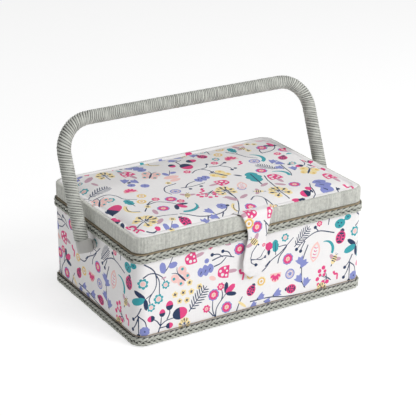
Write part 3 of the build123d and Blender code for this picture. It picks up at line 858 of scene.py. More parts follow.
WALL_LINES = (
    ((8, 11), (16, 17), (20, 23), (21, 34), (17, 42), (9, 47)),
    ((7, 25), (13, 22), (20, 23), (27, 28), (30, 33)),
    ((21, 25), (24, 32), (24, 45)),
    ((16, 43), (13, 48), (14, 53)),
    ((22, 86), (25, 79), (31, 75), (40, 74)),
    ((25, 79), (26, 70)),
    ((25, 79), (21, 73), (17, 70)),
    ((32, 74), (35, 68), (35, 64)),
    ((24, 81), (31, 81)),
    ((82, 24), (94, 22), (107, 26)),
    ((82, 18), (89, 19), (94, 23)),
    ((94, 17), (100, 19), (104, 25)),
    ((84, 31), (92, 29), (98, 24)),
    ((86, 86), (83, 77), (83, 66)),
    ((86, 86), (88, 75), (98, 63)),
    ((93, 69), (94, 63), (93, 57)),
    ((84, 84), (80, 79), (77, 76)),
    ((110, 86), (114, 76), (117, 71)),
    ((124, 50), (140, 49), (150, 40), (161, 34), (168, 28), (176, 21)),
    ((149, 40), (143, 45)),
    ((158, 45), (160, 38), (168, 28), (158, 27)),
    ((131, 34), (137, 36), (142, 34)),
    ((122, 30), (132, 33), (139, 29), (143, 26)),
    ((226, 27), (206, 21), (191, 26), (180, 35)),
    ((190, 28), (185, 37)),
    ((202, 16), (206, 21)),
    ((194, 33), (189, 45), (187, 56), (188, 72), (192, 80)),
    ((126, 79), (150, 80), (170, 84), (200, 86)),
    ((250, 56), (246, 64), (241, 69)),
    ((246, 64), (253, 70), (255, 78)),
    ((247, 66), (244, 74), (240, 80)),
    ((247, 64), (247, 74), (247, 85)),
    ((219, 10), (218, 17)),
)
WALL_LEAVES = (
    (YELLOW, (112, 75), (122, 84), 3.0), (MAUVE, (26, 30), (32, 29), 2.0),
)

# The lid's own stretch of the print: right, and forward from the back edge.
LID_PRINT = {
    ringed_flower: ((73, 116), (55, 133), (191, 97), (229, 40), (246, 56), (199, 145), (133, 167)),
    teal_flower: ((12, 49, 0, 0.9), (22, 87, 0, 0.85), (168, 45, 0, 0.75), (231, 95, 0, 0.75),
                  (16, 33, 0, 0.5), (168, 19, 0, 0.6)),
    small_flower: ((60, 109), (79, 125), (161, 54), (124, 61), (233, 64), (252, 47, 0, 0.8),
                   (84, 148, 0, 0.5), (32, 16, 0, 0.7), (248, 92, 0, 0.8)),
    blossom: ((50, 159), (92, 78), (44, 122), (212, 40), (146, 16), (40, 174), (222, 22), (228, 26)),
    ring_flower: ((52, 95), (45, 108), (187, 22), (177, 35), (153, 176, 0, 0.8)),
    double_ring: ((87, 101), (200, 70, 0, 1.1), (148, 127, 0, 0.8)),
    lilac_bloom: ((107, 155), (57, 65, 0, 0.8), (68, 73, 0, 0.9), (122, 12, 0, 0.8)),
    toadstool: ((69, 44, 12, 1.0), (131, 105, -85, 1.0), (193, 126, 0, 1.05), (244, 152, 4, 1.05)),
    ladybird: ((160, 31, 20, 0.95), (231, 77, -40, 0.95), (60, 166, 15, 1.05)),
    fern: ((10, 64, -78, 0.95), (208, 100, 32, 0.85)),
    bell: ((54, 56, -30), (66, 62, 20), (213, 84, -40), (222, 92, 35), (214, 103, 20), (222, 112, -20),
           (93, 163, 30), (77, 177, -20), (92, 174, 15), (142, 20, 30), (152, 26, -30), (131, 27, 60),
           (78, 26, 20, 0.8)),
    lilac_leaf: ((87, 38, 12, 1.35), (118, 88, -74, 1.25), (222, 174, -6, 1.9)),
    heart_pair: ((20, 20, 30, 0.8), (106, 56, 0, 0.8), (43, 169, -8, 0.8)),
    fan: ((244, 42, 6, 1.0), (70, 131, -150, 1.0)),
    butterfly: ((86, 52, -38, 1.0), (12, 83, -30, 0.9)),
    yellow_butterfly: ((150, 85, 30, 1.0), (233, 122, -42, 1.05)),
    blush_leaf: ((103, 66, 88, 1.6), (103, 74, 100, 1.2), (212, 20, 80, 1.3)),
    mauve_leaf: ((27, 30, -50, 1.6), (64, 30, 20), (44, 137, -10, 1.2), (37, 158, -50, 1.3),
                 (125, 145, 20, 1.6), (138, 146, -60, 1.3), (172, 131, -65, 1.2), (187, 138, 45, 1.2),
                 (206, 26, 25, 1.2), (27, 44, 15)),
    drop: ((152, 121, -25, 1.1),),
    shell: ((183, 55, 4, 1.15), (48, 82, -8, 1.1)),
    berries: ((120, 118, 128, 0.95),),
    pink_bell: ((9, 153, 20, 1.0),),
    crescent: ((208, 110, -52, 1.05), (213, 62, -80, 1.25), (82, 148, -140, 1.25)),
    yellow_sickle: ((102, 24, 115, 1.0), (24, 123, 115, 1.15), (116, 165, 100, 0.9)),
    bee: ((92, 116, -30, 1.0), (210, 32, 30, 0.85), (158, 143, 60, 0.9)),
    squiggle: ((110, 113, -60, 1.0), (184, 67, -60, 1.0), (60, 14, 0, 0.8), (248, 18, 0, 0.9),
               (247, 172, 0, 1.1), (12, 164, 40, 0.8)),
    dot_pink: ((29, 168),),
    lobed_leaf: ((34, 111, 4, 0.95), (197, 38, 0, 0.95), (172, 122, -10, 1.75), (92, 14, 80, 0.6)),
    bud: ((119, 38, 180, 0.9), (131, 47, 180, 1.6), (143, 36, -90, 1.1), (14, 108, -66, 1.8),
          (198, 166, 90, 1.1), (184, 175, 60, 1.4), (233, 105, 90, 0.85), (246, 108, -140, 0.9),
          (252, 117, -160, 0.9), (253, 93, -130, 0.9), (3, 130, -40, 1.5)),
    sepal_flower: ((157, 8, 30, 0.8), (205, 160, 10, 0.7)),
    blossom_branch: ((46, 31, 0, 0.9), (23, 152, -60, 1.1), (130, 128, 0, 1.0), (176, 156, 10, 1.05)),
    dot: ((103, 103), (116, 102), (145, 75), (167, 79), (172, 77), (152, 53), (171, 58), (58, 58), (113, 156),
          (235, 171), (70, 18), (226, 96)),
}
LID_LINES = (
    ((5, 73), (15, 72), (25, 74), (31, 82), (33, 92), (38, 97), (44, 101)),
    ((45, 118), (52, 113), (62, 109)),
    ((46, 118), (58, 116), (68, 124), (72, 131)),
    ((36, 131), (46, 119), (52, 112)),
    ((30, 148), (45, 148), (60, 152)),
    ((62, 152), (75, 163), (92, 166), (106, 163), (113, 156)),
    ((86, 165), (82, 171)),
    ((103, 165), (98, 171)),
    ((100, 98), (108, 90), (118, 87)),
    ((96, 96), (108, 98), (124, 96)),
    ((98, 83), (84, 86), (78, 96), (80, 106)),
    ((126, 67), (134, 62), (146, 61), (152, 53)),
    ((150, 61), (160, 63), (170, 58)),
    ((140, 62), (145, 70), (145, 75)),
    ((162, 63), (168, 72), (167, 79)),
    ((122, 26), (130, 30), (136, 28)),
    ((128, 30), (128, 42)),
    ((174, 14), (172, 22), (170, 29)),
    ((188, 32), (196, 44), (200, 55), (208, 64)),
    ((220, 54), (232, 53), (240, 48), (244, 42)),
    ((220, 54), (222, 46), (227, 42)),
    ((218, 92), (216, 104), (214, 116), (210, 124)),
    ((181, 128), (179, 140), (178, 152)),
    ((186, 110), (182, 122), (181, 130)),
    ((140, 156), (148, 151), (154, 158), (150, 172)),
    ((154, 158), (156, 168), (158, 177)),
    ((133, 120), (131, 134), (128, 150), (120, 166), (112, 177)),
    ((202, 168), (208, 160), (214, 150)),
    ((209, 160), (207, 170), (200, 177)),
    ((234, 168), (230, 177)),
    ((245, 88), (244, 98), (238, 106)),
    ((72, 12), (70, 16), (69, 20)),
    ((74, 10), (76, 18), (77, 26)),
    ((4, 66), (8, 70)),
    ((17, 168), (21, 171), (25, 171), (30, 168)),
)
LID_LEAVES = (
    (TEAL, (63, 20), (66, 30), 3.0), (MAUVE, (126, 143), (118, 138), 3.0), (NAVY, (8, 137), (2, 150), 4.0),
    (TEAL, (250, 66), (240, 70), 3.4), (LILAC, (12, 10), (22, 14), 5.0), (PINK, (236, 14), (243, 20), 4.0),
    (NAVY, (166, 100), (160, 92), 3.0), (TEAL, (104, 12), (98, 6), 3.5),
)

# The tab's own: right from its middle line, and down from where it starts.
TAB_PRINT = {
    ringed_flower: ((-2, 24),),
    toadstool: ((16, 20, 0, 0.85), (-14, 10, -82, 0.85)),
    ring_flower: ((-11, 19, 0, 1.1),),
    bee: ((-3, 39, 52, 1.05),),
    small_flower: ((9, 45, 0, 0.45),),
    dot: ((11, 35, 0, 0.8), (12.5, 58, 0, 0.9), (1, 64, 0, 0.9)),
}
TAB_LINES = (
    ((6, 19), (11, 25), (16, 31)),
    ((8, 22), (9, 29), (11, 35)),
    ((1, 43), (-4, 50), (-5, 57)),
    ((-5, 57), (1, 58), (7, 60), (12.5, 58)),
    ((1, 58), (6, 56), (11, 50)),
    ((-5, 57), (-4, 61), (1, 64)),
)


def scattered(motifs, lines, leaves, width):
    """All the shapes of a layout, each moved to its place, as (ink, outline) with outlines upright."""
    shapes = [(NAVY, stroke([complex(x, -y) for x, y in line], width)) for line in lines]
    shapes += [(ink, leaf(*(complex(x, -y) for x, y in ends), breadth)) for ink, *ends, breadth in leaves]
    for motif, spots in motifs.items():
        drawn = motif()
        for x, y, *rest in spots:
            turn, size = (*rest, *(0, 1.0)[len(rest):])
            by = size * cmath.exp(1j * math.radians(turn))
            shapes += [(ink, [complex(x, -y) + by * p for p in shape]) for ink, shape in drawn]
    return shapes


def moved(shapes, by):
    return [(ink, [p + by for p in shape]) for ink, shape in shapes]


def touching(shapes, low, high):
    """The shapes that reach into a rectangle between two corners."""
    return [
        (ink, shape)
        for ink, shape in shapes
        if max(p.real for p in shape) > low.real and min(p.real for p in shape) < high.real
        and max(p.imag for p in shape) > low.imag and min(p.imag for p in shape) < high.imag
    ]


def upright(shape):
    """The same outline, running anticlockwise."""
    area = sum((a.conjugate() * b).imag for a, b in zip(shape, shape[1:] + shape[:1]))
    return shape if area > 0 else shape[::-1]


def printed(name, outline, grid, shapes, lift):
    """A printed cloth: its flat triangles follow every motif, then lift gives each point its place.

    lift takes the flat points and which of them are on the cloth's rim.
    """
    flat, loops, inks = list(outline) + list(grid), [list(range(len(outline)))], [GROUND]
    for ink, shape in shapes:
        loops.append(list(range(len(flat), len(flat) + len(shape))))
        flat += upright(shape)
        inks.append(ink)
    found = delaunay_2d_cdt([Vector((p.real, p.imag)) for p in flat], [], loops, 0, 0.0005)
    points = np.array([tuple(p) for p in found[0]])
    kept = [(tuple(t), max(f)) for t, f in zip(found[2], found[5]) if 0 in f and len(t) == 3]
    used, faces = np.unique([t for t, _ in kept], return_inverse=True)
    faces = faces.reshape(-1, 3)
    sides = np.sort(np.concatenate([faces[:, [0, 1]], faces[:, [1, 2]], faces[:, [2, 0]]]), axis=1)
    sides, uses = np.unique(sides, axis=0, return_counts=True)
    rim = np.isin(np.arange(len(used)), sides[uses == 1])
    made = place(name, lift(points[used], rim), faces)
    lay_uv(made, points[used][faces])
    colours = np.repeat([inks[top] for _, top in kept], 3, axis=0)
    layer = made.data.color_attributes.new("ink", "FLOAT_COLOR", "CORNER")
    layer.data.foreach_set("color", colours.astype(np.float32).ravel())
    return made


def lid_print():
    """The lid's print, from its back left corner."""
    return scattered(LID_PRINT, LID_LINES, LID_LEAVES, 1.35)


# ---- padded pieces, blown up by cloth simulation --------------------------------------------------
PUFF_STEPS = 20  # frames of each simulation


def slab(name, low, high, corner, rounding):
    """A closed slab with rounded plan corners and rounded edges."""
    size, middle = np.array(high) - np.array(low), (np.array(high) + np.array(low)) / 2
    bpy.ops.object.select_all(action="DESELECT")
    bpy.ops.mesh.primitive_cube_add(size=MM, location=middle * MM, scale=size)
    made = bpy.context.object
    made.name = made.data.name = name
    bpy.ops.object.transform_apply(location=True, rotation=False, scale=True)
    mesh = bmesh.new()
    mesh.from_mesh(made.data)
    posts = [e for e in mesh.edges if abs((e.verts[0].co - e.verts[1].co).z) > size[2] * MM * 0.5]
    bmesh.ops.bevel(mesh, geom=posts, offset=corner * MM, segments=6, affect="EDGES", profile=0.5)
    mesh.to_mesh(made.data)
    mesh.free()
    limit = {"limit_method": "ANGLE", "angle_limit": math.radians(50)}
    return modify(made, "BEVEL", width=rounding * MM, segments=3, **limit)


def puffed(name, low, high, corner, rounding, voxel, swell, pressure=4.0, finer=1):
    """A padded form: a slab, remeshed and swollen by the pressure of a cloth simulation.

    No point moves further than swell, and finer subdivides a coarse pad at the end.
    """
    made = slab(name, low, high, corner, rounding)
    modify(made, "REMESH", mode="VOXEL", voxel_size=voxel * MM)
    start = points_of(made)
    alone(made)
    cloth = made.modifiers.new("Cloth", "CLOTH")
    cloth.settings.effector_weights.gravity = 0.0
    cloth.settings.use_pressure = True
    cloth.settings.uniform_pressure_force = pressure
    cloth.settings.quality = 4
    cloth.collision_settings.use_collision = False
    cloth.point_cache.frame_start, cloth.point_cache.frame_end = 1, PUFF_STEPS
    for step in range(1, PUFF_STEPS + 1):
        bpy.context.scene.frame_set(step)
    bpy.ops.object.modifier_apply(modifier=cloth.name)
    bpy.context.scene.frame_set(1)
    moves = points_of(made) - start
    far = np.linalg.norm(moves, axis=1, keepdims=True)
    moves *= np.minimum(1.0, swell * MM / np.maximum(far, 1e-9))
    made.data.vertices.foreach_set("co", (start + moves).ravel())
    if finer:
        modify(made, "SUBSURF", levels=finer, render_levels=finer)
    made.data.shade_smooth()
    return made


# ---- the printed cloth on the walls ---------------------------------------------------------------
CASE = (CASE_LENGTH, CASE_WIDTH, CASE_CORNER)
CASE_GIRTH = girth(*CASE)
PRINT_LOW, PRINT_HIGH = 6.0, WALL_TOP
CORNER_ARC = math.pi * CASE_CORNER / 2
PRINT_DROP = 96.0  # height from which the layout measures down
FRONT_START = (CASE_LENGTH + 2 * CASE_WIDTH - 6 * CASE_CORNER) / 2 + 2 * CORNER_ARC - CASE_CORNER


def wall_cloth():
    """Cloth wrapped once round the walls, joined down the middle of the back."""
    stations, at = [], 0.0
    half, front = CASE_LENGTH / 2 - CASE_CORNER, CASE_LENGTH - 2 * CASE_CORNER
    end = CASE_WIDTH - 2 * CASE_CORNER
    for i, flat in enumerate((half, end, front, end, half)):
        stations += list(np.linspace(at, at + flat, int(flat / 4) + 1, endpoint=False))
        at += flat
        if i < 4:
            stations += list(np.linspace(at, at + CORNER_ARC, 12, endpoint=False))
            at += CORNER_ARC
    levels = np.linspace(PRINT_LOW, PRINT_HIGH, 23)
    grid = [complex(s, z) for s in stations[1:] for z in levels[1:-1]]
    outline = [complex(s, PRINT_LOW) for s in stations] + [complex(CASE_GIRTH, z) for z in levels]
    outline += [complex(s, PRINT_HIGH) for s in stations[:0:-1]] + [complex(0, z) for z in levels[:0:-1]]
    one = moved(scattered(WALL_PRINT, WALL_LINES, WALL_LEAVES, 1.3), complex(FRONT_START, PRINT_DROP))
    shapes = []
    for i in range(-2, 3):
        shapes += touching(moved(one, REPEAT * i), complex(1, 2), complex(CASE_GIRTH - 1, PRINT_HIGH))

    def lift(flat, _):
        base, out = hoop(*CASE, flat[:, 0])
        swell = np.array([0.16 * ringed_noise(s, CASE_GIRTH, 7, z / 30) for s, z in flat])
        return np.column_stack([base + out * (swell - 0.12)[:, None], flat[:, 1]])

    made = printed("wall_cloth", outline, grid, shapes, lift)
    in_edit(made, (bpy.ops.mesh.remove_doubles, {"threshold": 0.00002}))
    dress(made, COTTON, "box", "printed_cloth", "body_cloth")
    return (made, CASE_GIRTH * MM)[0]


wall_cloth()

# ---- the padded top of the lid --------------------------------------------------------------------
TOP_LOW, TOP_HIGH = reach("lid_cloth")
TOP_BORDER = (LID_LENGTH - (TOP_HIGH - TOP_LOW)[0]) / 2  # the wrapped rim that shows round the padded top
TOP = (LID_LENGTH - 2 * TOP_BORDER, LID_WIDTH - 2 * TOP_BORDER, LID_CORNER - TOP_BORDER)
EDGE_ROUND = 3.2  # radius of the cloth's turn-down at the lid's edge
SKIRT = 3.0  # how far the cloth tucks down inside the rim


def edge_distance(x, y, size):
    """How far inside a rounded rectangle each point is."""
    length, width, corner = size
    dx, dy = np.abs(x) - (length / 2 - corner), np.abs(y) - (width / 2 - corner)
    outside = np.hypot(np.maximum(dx, 0), np.maximum(dy, 0))
    return corner - (outside + np.minimum(np.maximum(dx, dy), 0))


pad_reach = (TOP[0] / 2 - 1.5, TOP[1] / 2 - 1.5)
pad = puffed(
    "pad_form", (-pad_reach[0], -pad_reach[1], LID_TOP - 8), (*pad_reach, LID_TOP + 0.4),
    TOP[2], 2.0, 5.0, 3.4,
)
pad_tree = BVHTree.FromObject(pad, bpy.context.evaluated_depsgraph_get())


def pad_height(x, y):
    """Height of the padded top over a point, in millimetres, with the cloth drawn down at the edge."""
    inside = float(edge_distance(np.array(x), np.array(y), TOP))
    hit = pad_tree.ray_cast(Vector((x, y, 200.0)) * MM, Vector((0, 0, -1)))[0]
    top = LID_TOP + 0.6 if hit is None else hit.z / MM
    ripple = noise.noise(Vector((x / 9, y / 9, 1.7))) * 0.35 * math.exp(-max(inside, 0) / 9)
    ripple += noise.noise(Vector((x / 34, y / 34, 4.2))) * 0.35
    turned = max(0.0, 1 - inside / EDGE_ROUND)
    edge = LID_TOP - 0.7 + 2.4 * math.sqrt(max(0.0, 1 - turned**2)) + 0.16 * max(0.0, inside - EDGE_ROUND)
    return min(top + ripple, edge + ripple * 0.6)


def lid_top():
    """The padded lid's printed cloth, with a skirt tucked down inside the wrapped rim."""
    outline = [complex(*p) for p in hoop(*TOP, np.linspace(0, girth(*TOP), 430, endpoint=False))[0]]
    grid = []
    for inset in (0.4, 0.9, 1.5, 2.2, 3.0, 4.0, 5.4, 7.2):
        size = (TOP[0] - 2 * inset, TOP[1] - 2 * inset, max(TOP[2] - inset, 1.0))
        grid += [complex(*p) for p in hoop(*size, np.linspace(0, girth(*size), 330, endpoint=False))[0]]
    inner = (TOP[0] / 2 - 9, TOP[1] / 2 - 9)
    for i, x in enumerate(np.linspace(-inner[0], inner[0], 80)):
        for y in np.linspace(-inner[1], inner[1], 54):
            grid.append(complex(x + 0.13 * math.sin(y), y + (i % 2) * 1.4))
    shapes = moved(lid_print(), complex(-LID_LENGTH / 2, LID_WIDTH / 2))

    def lift(flat, _):
        return np.column_stack([flat, [pad_height(x, y) for x, y in flat]])

    made = printed("lid_top", outline, grid, touching(shapes, -126 - 86j, 126 + 86j), lift)
    alone(made)
    bpy.ops.object.mode_set(mode="EDIT")
    bpy.ops.mesh.select_all(action="DESELECT")
    bpy.ops.mesh.select_non_manifold()
    bpy.ops.mesh.extrude_region_move(TRANSFORM_OT_translate={"value": (0, 0, -SKIRT * MM)})
    bpy.ops.mesh.edge_face_add()
    bpy.ops.mesh.quads_convert_to_tris()
    bpy.ops.object.mode_set(mode="OBJECT")
    dress(made, COTTON, "lid", "printed_cloth", "lid_cloth", "lid_wadding")
    return made


lid_top()

# ---- the closing tab ------------------------------------------------------------------------------
TAB_LOW = reach("closing_tab")[0]
TAB_ROOT, TAB_WAIST, TAB_PADDLE = 23.0, 10.8, 13.4  # half widths, the last also the end's radius
WAIST_AT = 37.0
TONGUE = 9.0  # how far back the tab starts on the padded top
TAB_THICK = 2.0
TAB_SKIN = TAB_LOW[1] + TAB_THICK / 2  # its middle surface hangs at this depth
TAB_TURN = 3.4  # radius with which it turns over the lid's edge
TAB_OVER, TAB_ARC = TONGUE - 1.2, TAB_TURN * math.pi / 2  # lengths on the lid and round the turn
TAB_DRIFT = -3.6  # how far its lower end hangs to one side


def ease(share):
    """A smooth step from 0 to 1."""
    return share * share * (3 - 2 * share)


def tab_line(t):
    """Depth and height of the tab's middle surface at a distance t from its start on the lid."""
    start_y = -LID_WIDTH / 2 + TONGUE
    start_z = pad_height(0, start_y) + 0.3
    edge_z = LID_TOP + 1.5
    if t < TAB_OVER:
        rising = start_z + (edge_z - start_z) * ease(t / TAB_OVER)
        return start_y - t, max(pad_height(0, start_y - t) + 0.5, rising)
    centre = (start_y - TAB_OVER, edge_z - TAB_TURN)
    if t < TAB_OVER + TAB_ARC:
        turn = (t - TAB_OVER) / TAB_TURN
        return centre[0] - TAB_TURN * math.sin(turn), centre[1] + TAB_TURN * math.cos(turn)
    down = t - TAB_OVER - TAB_ARC
    share = down / (centre[1] - TAB_LOW[2])
    belly = 0.9 * math.sin(math.pi * min(1.0, share * 2.2))
    belly += 0.7 * math.sin(math.pi * max(0.0, share - 0.45) / 0.55)
    front = centre[0] - TAB_TURN
    return front + (TAB_SKIN - front) * min(1.0, share * 3) - belly, centre[1] - down


TAB_LENGTH = TAB_OVER + TAB_ARC + LID_TOP + 1.5 - TAB_TURN - TAB_LOW[2]


def tab_half(t):
    """Half the tab's width at a distance t from its start: wide root, waist, rounded end."""
    left = TAB_LENGTH - t
    if left < TAB_PADDLE:
        return math.sqrt(max(0.0, TAB_PADDLE**2 - (TAB_PADDLE - left) ** 2))
    if t < WAIST_AT:
        return TAB_WAIST + (TAB_ROOT - TAB_WAIST) * (1 - t / WAIST_AT) ** 1.7
    share = min(1.0, (t - WAIST_AT) / (TAB_LENGTH - TAB_PADDLE - WAIST_AT))
    return TAB_WAIST + (TAB_PADDLE - TAB_WAIST) * ease(share)


def tab_point(x, t, side):
    """Where a point of the tab's front (side 1) or back (-1) lies, x across and t down; 0 is its middle."""
    depth, height = tab_line(t)
    ahead_depth, ahead_height = tab_line(min(t + 0.2, TAB_LENGTH))
    fall = math.atan2(depth - ahead_depth, height - ahead_height)  # 0 hanging, 90 degrees lying flat
    across = min(1.0, abs(x) / max(tab_half(t), 0.05))
    tip = min(1.0, (TAB_LENGTH - t) / 3.0)
    thick = TAB_THICK / 2 * math.sqrt(max(0.0, 1 - across**6)) * math.sqrt(max(0.0, 1 - (1 - tip) ** 2))
    crease = 0.35 * noise.noise(Vector((x / 5.5, t / 13, 2.2))) * (t > 30)
    low_end = min(1.0, max(0.0, (t - 46) / 14))
    crease += low_end * 1.8 * noise.noise(Vector((x / 10 + t / 6.0, t / 3.6, 5.1)))
    crease *= 1 - 0.7 * across**4
    out = thick * side + crease + 0.25 * noise.noise(Vector((x / 16, t / 22, 8.0)))
    drift = TAB_DRIFT * ease(min(1.0, max(0.0, (t - 22) / 36)))
    return x + drift, depth - out * math.cos(fall), height + out * math.sin(fall)


def tab():
    """The waisted tab: two layers of printed cloth over a thin filling, with a turned edge; a dark band round
    the back layer's edge is painted shade.
    """
    rows = np.concatenate([np.linspace(0, TAB_LENGTH - 3, 70), TAB_LENGTH - np.geomspace(2.4, 0.12, 9)])
    right = [complex(tab_half(t), -t) for t in rows]
    outline = [-p.conjugate() for p in right] + [complex(0, -TAB_LENGTH)] + right[::-1]
    grid = []
    for share in (0.97, 0.92, 0.85, 0.7, 0.5, 0.28, 0.0):
        for p in right[2:-4]:
            half = p.real * share
            grid += [complex(half, p.imag), complex(-half, p.imag)] if share else [complex(0, p.imag)]
    start = complex(-LID_LENGTH / 2, LID_WIDTH - TONGUE)
    shapes = touching(moved(lid_print(), start), complex(-TAB_ROOT, -3), complex(TAB_ROOT, 4))
    shapes += scattered(TAB_PRINT, TAB_LINES, (), 1.1)

    def lift(side):
        """Both layers meet at the rim."""
        return lambda flat, rim: np.array(
            [tab_point(x, min(-y, TAB_LENGTH), side * (not bound)) for (x, y), bound in zip(flat, rim)]
        )

    # the back layer's outer band is painted dark: painted shade along the tab's edge
    inset = [complex(tab_half(t) - 1.3, -t) for t in rows if 1 < t < TAB_LENGTH - 1.5]
    inside = [-p.conjugate() for p in inset] + inset[::-1]
    front, back = (
        printed(name, outline, grid, [(ink, outline), (GROUND, inside)] + shapes, lift(side))
        for name, ink, side in (("closing_tab_cloth", GROUND, 1), ("closing_tab_back", TAB_EDGE_SHADE, -1))
    )
    in_edit(back, (bpy.ops.mesh.flip_normals, {}))
    alone(front)
    back.select_set(True)
    bpy.ops.object.join()
    outwards(front)
    front.data.shade_smooth()
    front.data.materials.append(COTTON)
    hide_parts("closing_tab")
    edge = -LID_WIDTH / 2
    (edge + 3) * MM
    (LID_TOP + 2) * MM
    (edge - 3.5) * MM
    (LID_TOP - 6) * MM
    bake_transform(front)
    area = float(np.trapz([2 * tab_half(t) for t in rows], rows)) * MM * MM
    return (front, TAB_LENGTH * MM)[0]


tab()
bpy.data.objects.remove(pad)

# ---- cord wrapped round the lid's rim --------------------------------------------------------------
LID = (LID_LENGTH, LID_WIDTH, LID_CORNER)
WRAP_PITCH = 1.36  # from one turn of cord to the next
WRAP_ROUND = 2.0  # radius of the rim's edges
RIM_DEPTH = 6.5  # from the outer face to the lid's recess


def wrap_profile():
    """Offsets and heights of the wrapped rim's section, a closed loop from the inside bottom outwards."""
    low, high = LID_LOW[2], LID_TOP
    lower, upper = low + WRAP_ROUND, high - WRAP_ROUND
    bends = [(WRAP_ROUND * math.sin(a), WRAP_ROUND * math.cos(a)) for a in np.linspace(0, math.pi / 2, 5)]
    return np.array(
        [(-RIM_DEPTH - 0.45, LINING_LOW + 0.6), (-RIM_DEPTH - 0.45, low + 1.2), (-RIM_DEPTH + 0.4, low + 0.3)]
        + [(-WRAP_ROUND + sine, lower - cosine) for sine, cosine in bends]
        + [(0, lower + (upper - lower) * t) for t in (0.25, 0.5, 0.75)]
        + [(-WRAP_ROUND + cosine, upper + sine) for sine, cosine in bends]
        + [(-3.6, high), (-5.0, high - 0.3), (-RIM_DEPTH + 0.2, high - 1.6), (-RIM_DEPTH - 0.2, high - 5)]
    )


def lid_wrap():
    """Side-by-side turns of cord round the lid's rim, each a little different from the next."""
    random.seed(11)
    loop = girth(*LID)
    count = int(round(loop / WRAP_PITCH))
    profile = wrap_profile()
    ahead = np.roll(profile, -1, axis=0) - np.roll(profile, 1, axis=0)
    normals = np.stack([ahead[:, 1], -ahead[:, 0]], axis=1)
    normals /= np.linalg.norm(normals, axis=1, keepdims=True)
    rows = []
    for i in range(count):
        tone = random.choice((0.92, 0.97, 1.0, 1.03, 1.07))
        sunk = random.uniform(-0.1, 0.0)
        joint = random.random() < 0.02
        slant = 0.5 + random.uniform(-0.12, 0.12)
        for phase, height in ((0.0, -0.56), (0.16, -0.16), (0.5, 0.0), (0.84, -0.16)):
            # painted shade in the groove before each cord, full at the few joints where the cords part
            hollow_shade = (1.0 if joint else random.uniform(0.15, 0.7)) if phase == 0 else 0.0
            height = height * (1.5 if joint else 1.0) + sunk
            rows.append(((i + phase) * loop / count, height, tone, hollow_shade, slant))
    stations, lifts, tones, hollow_shades, slants = np.array(rows).T
    outs, ups = (profile + lifts[:, None, None] * normals).transpose(2, 0, 1)
    drift = (profile[:, 1] - profile[:, 1].mean()) / 16 * 1.1
    base, facing = hoop(*LID, stations[:, None] + drift * slants[:, None])
    points = np.concatenate([base + outs[..., None] * facing, ups[..., None]], axis=2)
    step = np.linalg.norm(np.roll(profile, -1, axis=0) - profile, axis=1)
    across = np.concatenate([[0], np.cumsum(step)])
    made = lattice("lid_wrap_cord", points, np.append(stations, loop), across, crossed=True)
    shaded(made, np.repeat(tones, len(profile)), np.repeat(hollow_shades, len(profile)))
    return finished(made, WRAP_CORD, "lid", "paper_cord", "lid_wrap")


lid_wrap()


# ---- plaited trims and the twine ------------------------------------------------------------------
STRANDS = 5
UPWARDS = np.array([[0.0, 0.0, 1.0]])


def plait(name, node, periods, radius, sway, depth):
    """Five flat strands of two cords each, plaited all the way round."""
    low, high = reach(node)
    length, width, _ = high - low
    stand = (length - CASE_LENGTH) / 2
    size = (length - stand, width - stand, CASE_CORNER + stand / 2)
    s, base, facing = rounds(size, periods * 26)
    random.seed(len(name))
    lines, tones, hollow_shades = [], [], []
    for strand in range(STRANDS):
        phase = TURN * (s / girth(*size) * periods + strand / STRANDS)
        swing = np.sin(phase) + 0.1 * np.sin(3 * phase)
        front = np.sign(np.sin(2 * phase)) * np.abs(np.sin(2 * phase)) ** 0.6
        for cord in (-1, 1):
            unsteady = 0.18 * wander(strand * 5 + cord + 5, s, 15.0)
            squeeze = 1 - 0.15 * np.abs(np.cos(phase)) ** 3
            height = (low[2] + high[2]) / 2 + (sway * swing + cord * radius * squeeze + unsteady)
            off = depth * front + 0.15 * wander(strand * 5 + cord + 35, s, 9.0)
            lines.append(base + facing * off[:, None] + UPWARDS * height[:, None])
            tones.append(random.uniform(0.94, 1.06) + 0.08 * wander(strand + cord + 60, s, 6.0))
            # strands passing behind the others are painted darker: painted shade
            hollow_shades.append(np.clip(0.45 - front * 0.75, 0, 0.95))
    sides = 6
    made = tubes(name, np.array(lines), facing, radius, sides)
    shaded(made, np.repeat(tones, sides), np.repeat(hollow_shades, sides))
    return finished(made, PLAIT_CORD, "box", "paper_cord", node)


def shade_backing(name, node, inset, out, tone):
    """A thin dark strip that lies behind a plait: painted shade that fills the gaps in it, with a low tone
    and nearly full darkening.
    """
    low, high = reach(node)
    bottom, top = low[2] + inset, high[2] - inset
    section = (0.02, out, out, 0.02), (bottom, bottom + 0.3, top - 0.3, top)
    made = girdle(name, CASE, np.arange(0, CASE_GIRTH, 1.5), *section, np.arange(5) * 2.0)
    return finished(shaded(made, tone, 0.97), PLAIT_CORD, "box", "paper_cord")


def twine(name, node, radius, pitch=3.4, plies=2):
    """Two thin plies twisted together, run round the box."""
    high = reach(node)[1]
    stand = radius * 1.5
    size = (CASE_LENGTH + 2 * stand, CASE_WIDTH + 2 * stand, CASE_CORNER + stand)
    turns = int(girth(*size) / pitch)
    s, base, facing = rounds(size, turns * 8)
    lines = []
    for ply in range(plies):
        angle = TURN * (s / girth(*size) * turns + ply / plies)
        out, rise = radius * 0.8 * np.cos(angle), radius * 0.8 * np.sin(angle)
        lines.append(base + facing * out[:, None] + UPWARDS * (high[2] - radius * 1.3 + rise)[:, None])
    made = tubes(name, np.array(lines), facing, radius, 5)
    shaded(made, 0.95 + 0.1 * np.sin(np.arange(len(made.data.vertices)) * 0.01), 0.0)
    return finished(made, TWINE, "box", "twine", node)


plait("rim_plait", "rim_braid", 24, 0.58, 3.1, 0.9)
plait("base_plait", "base_braid", 30, 0.62, 3.4, 0.95)
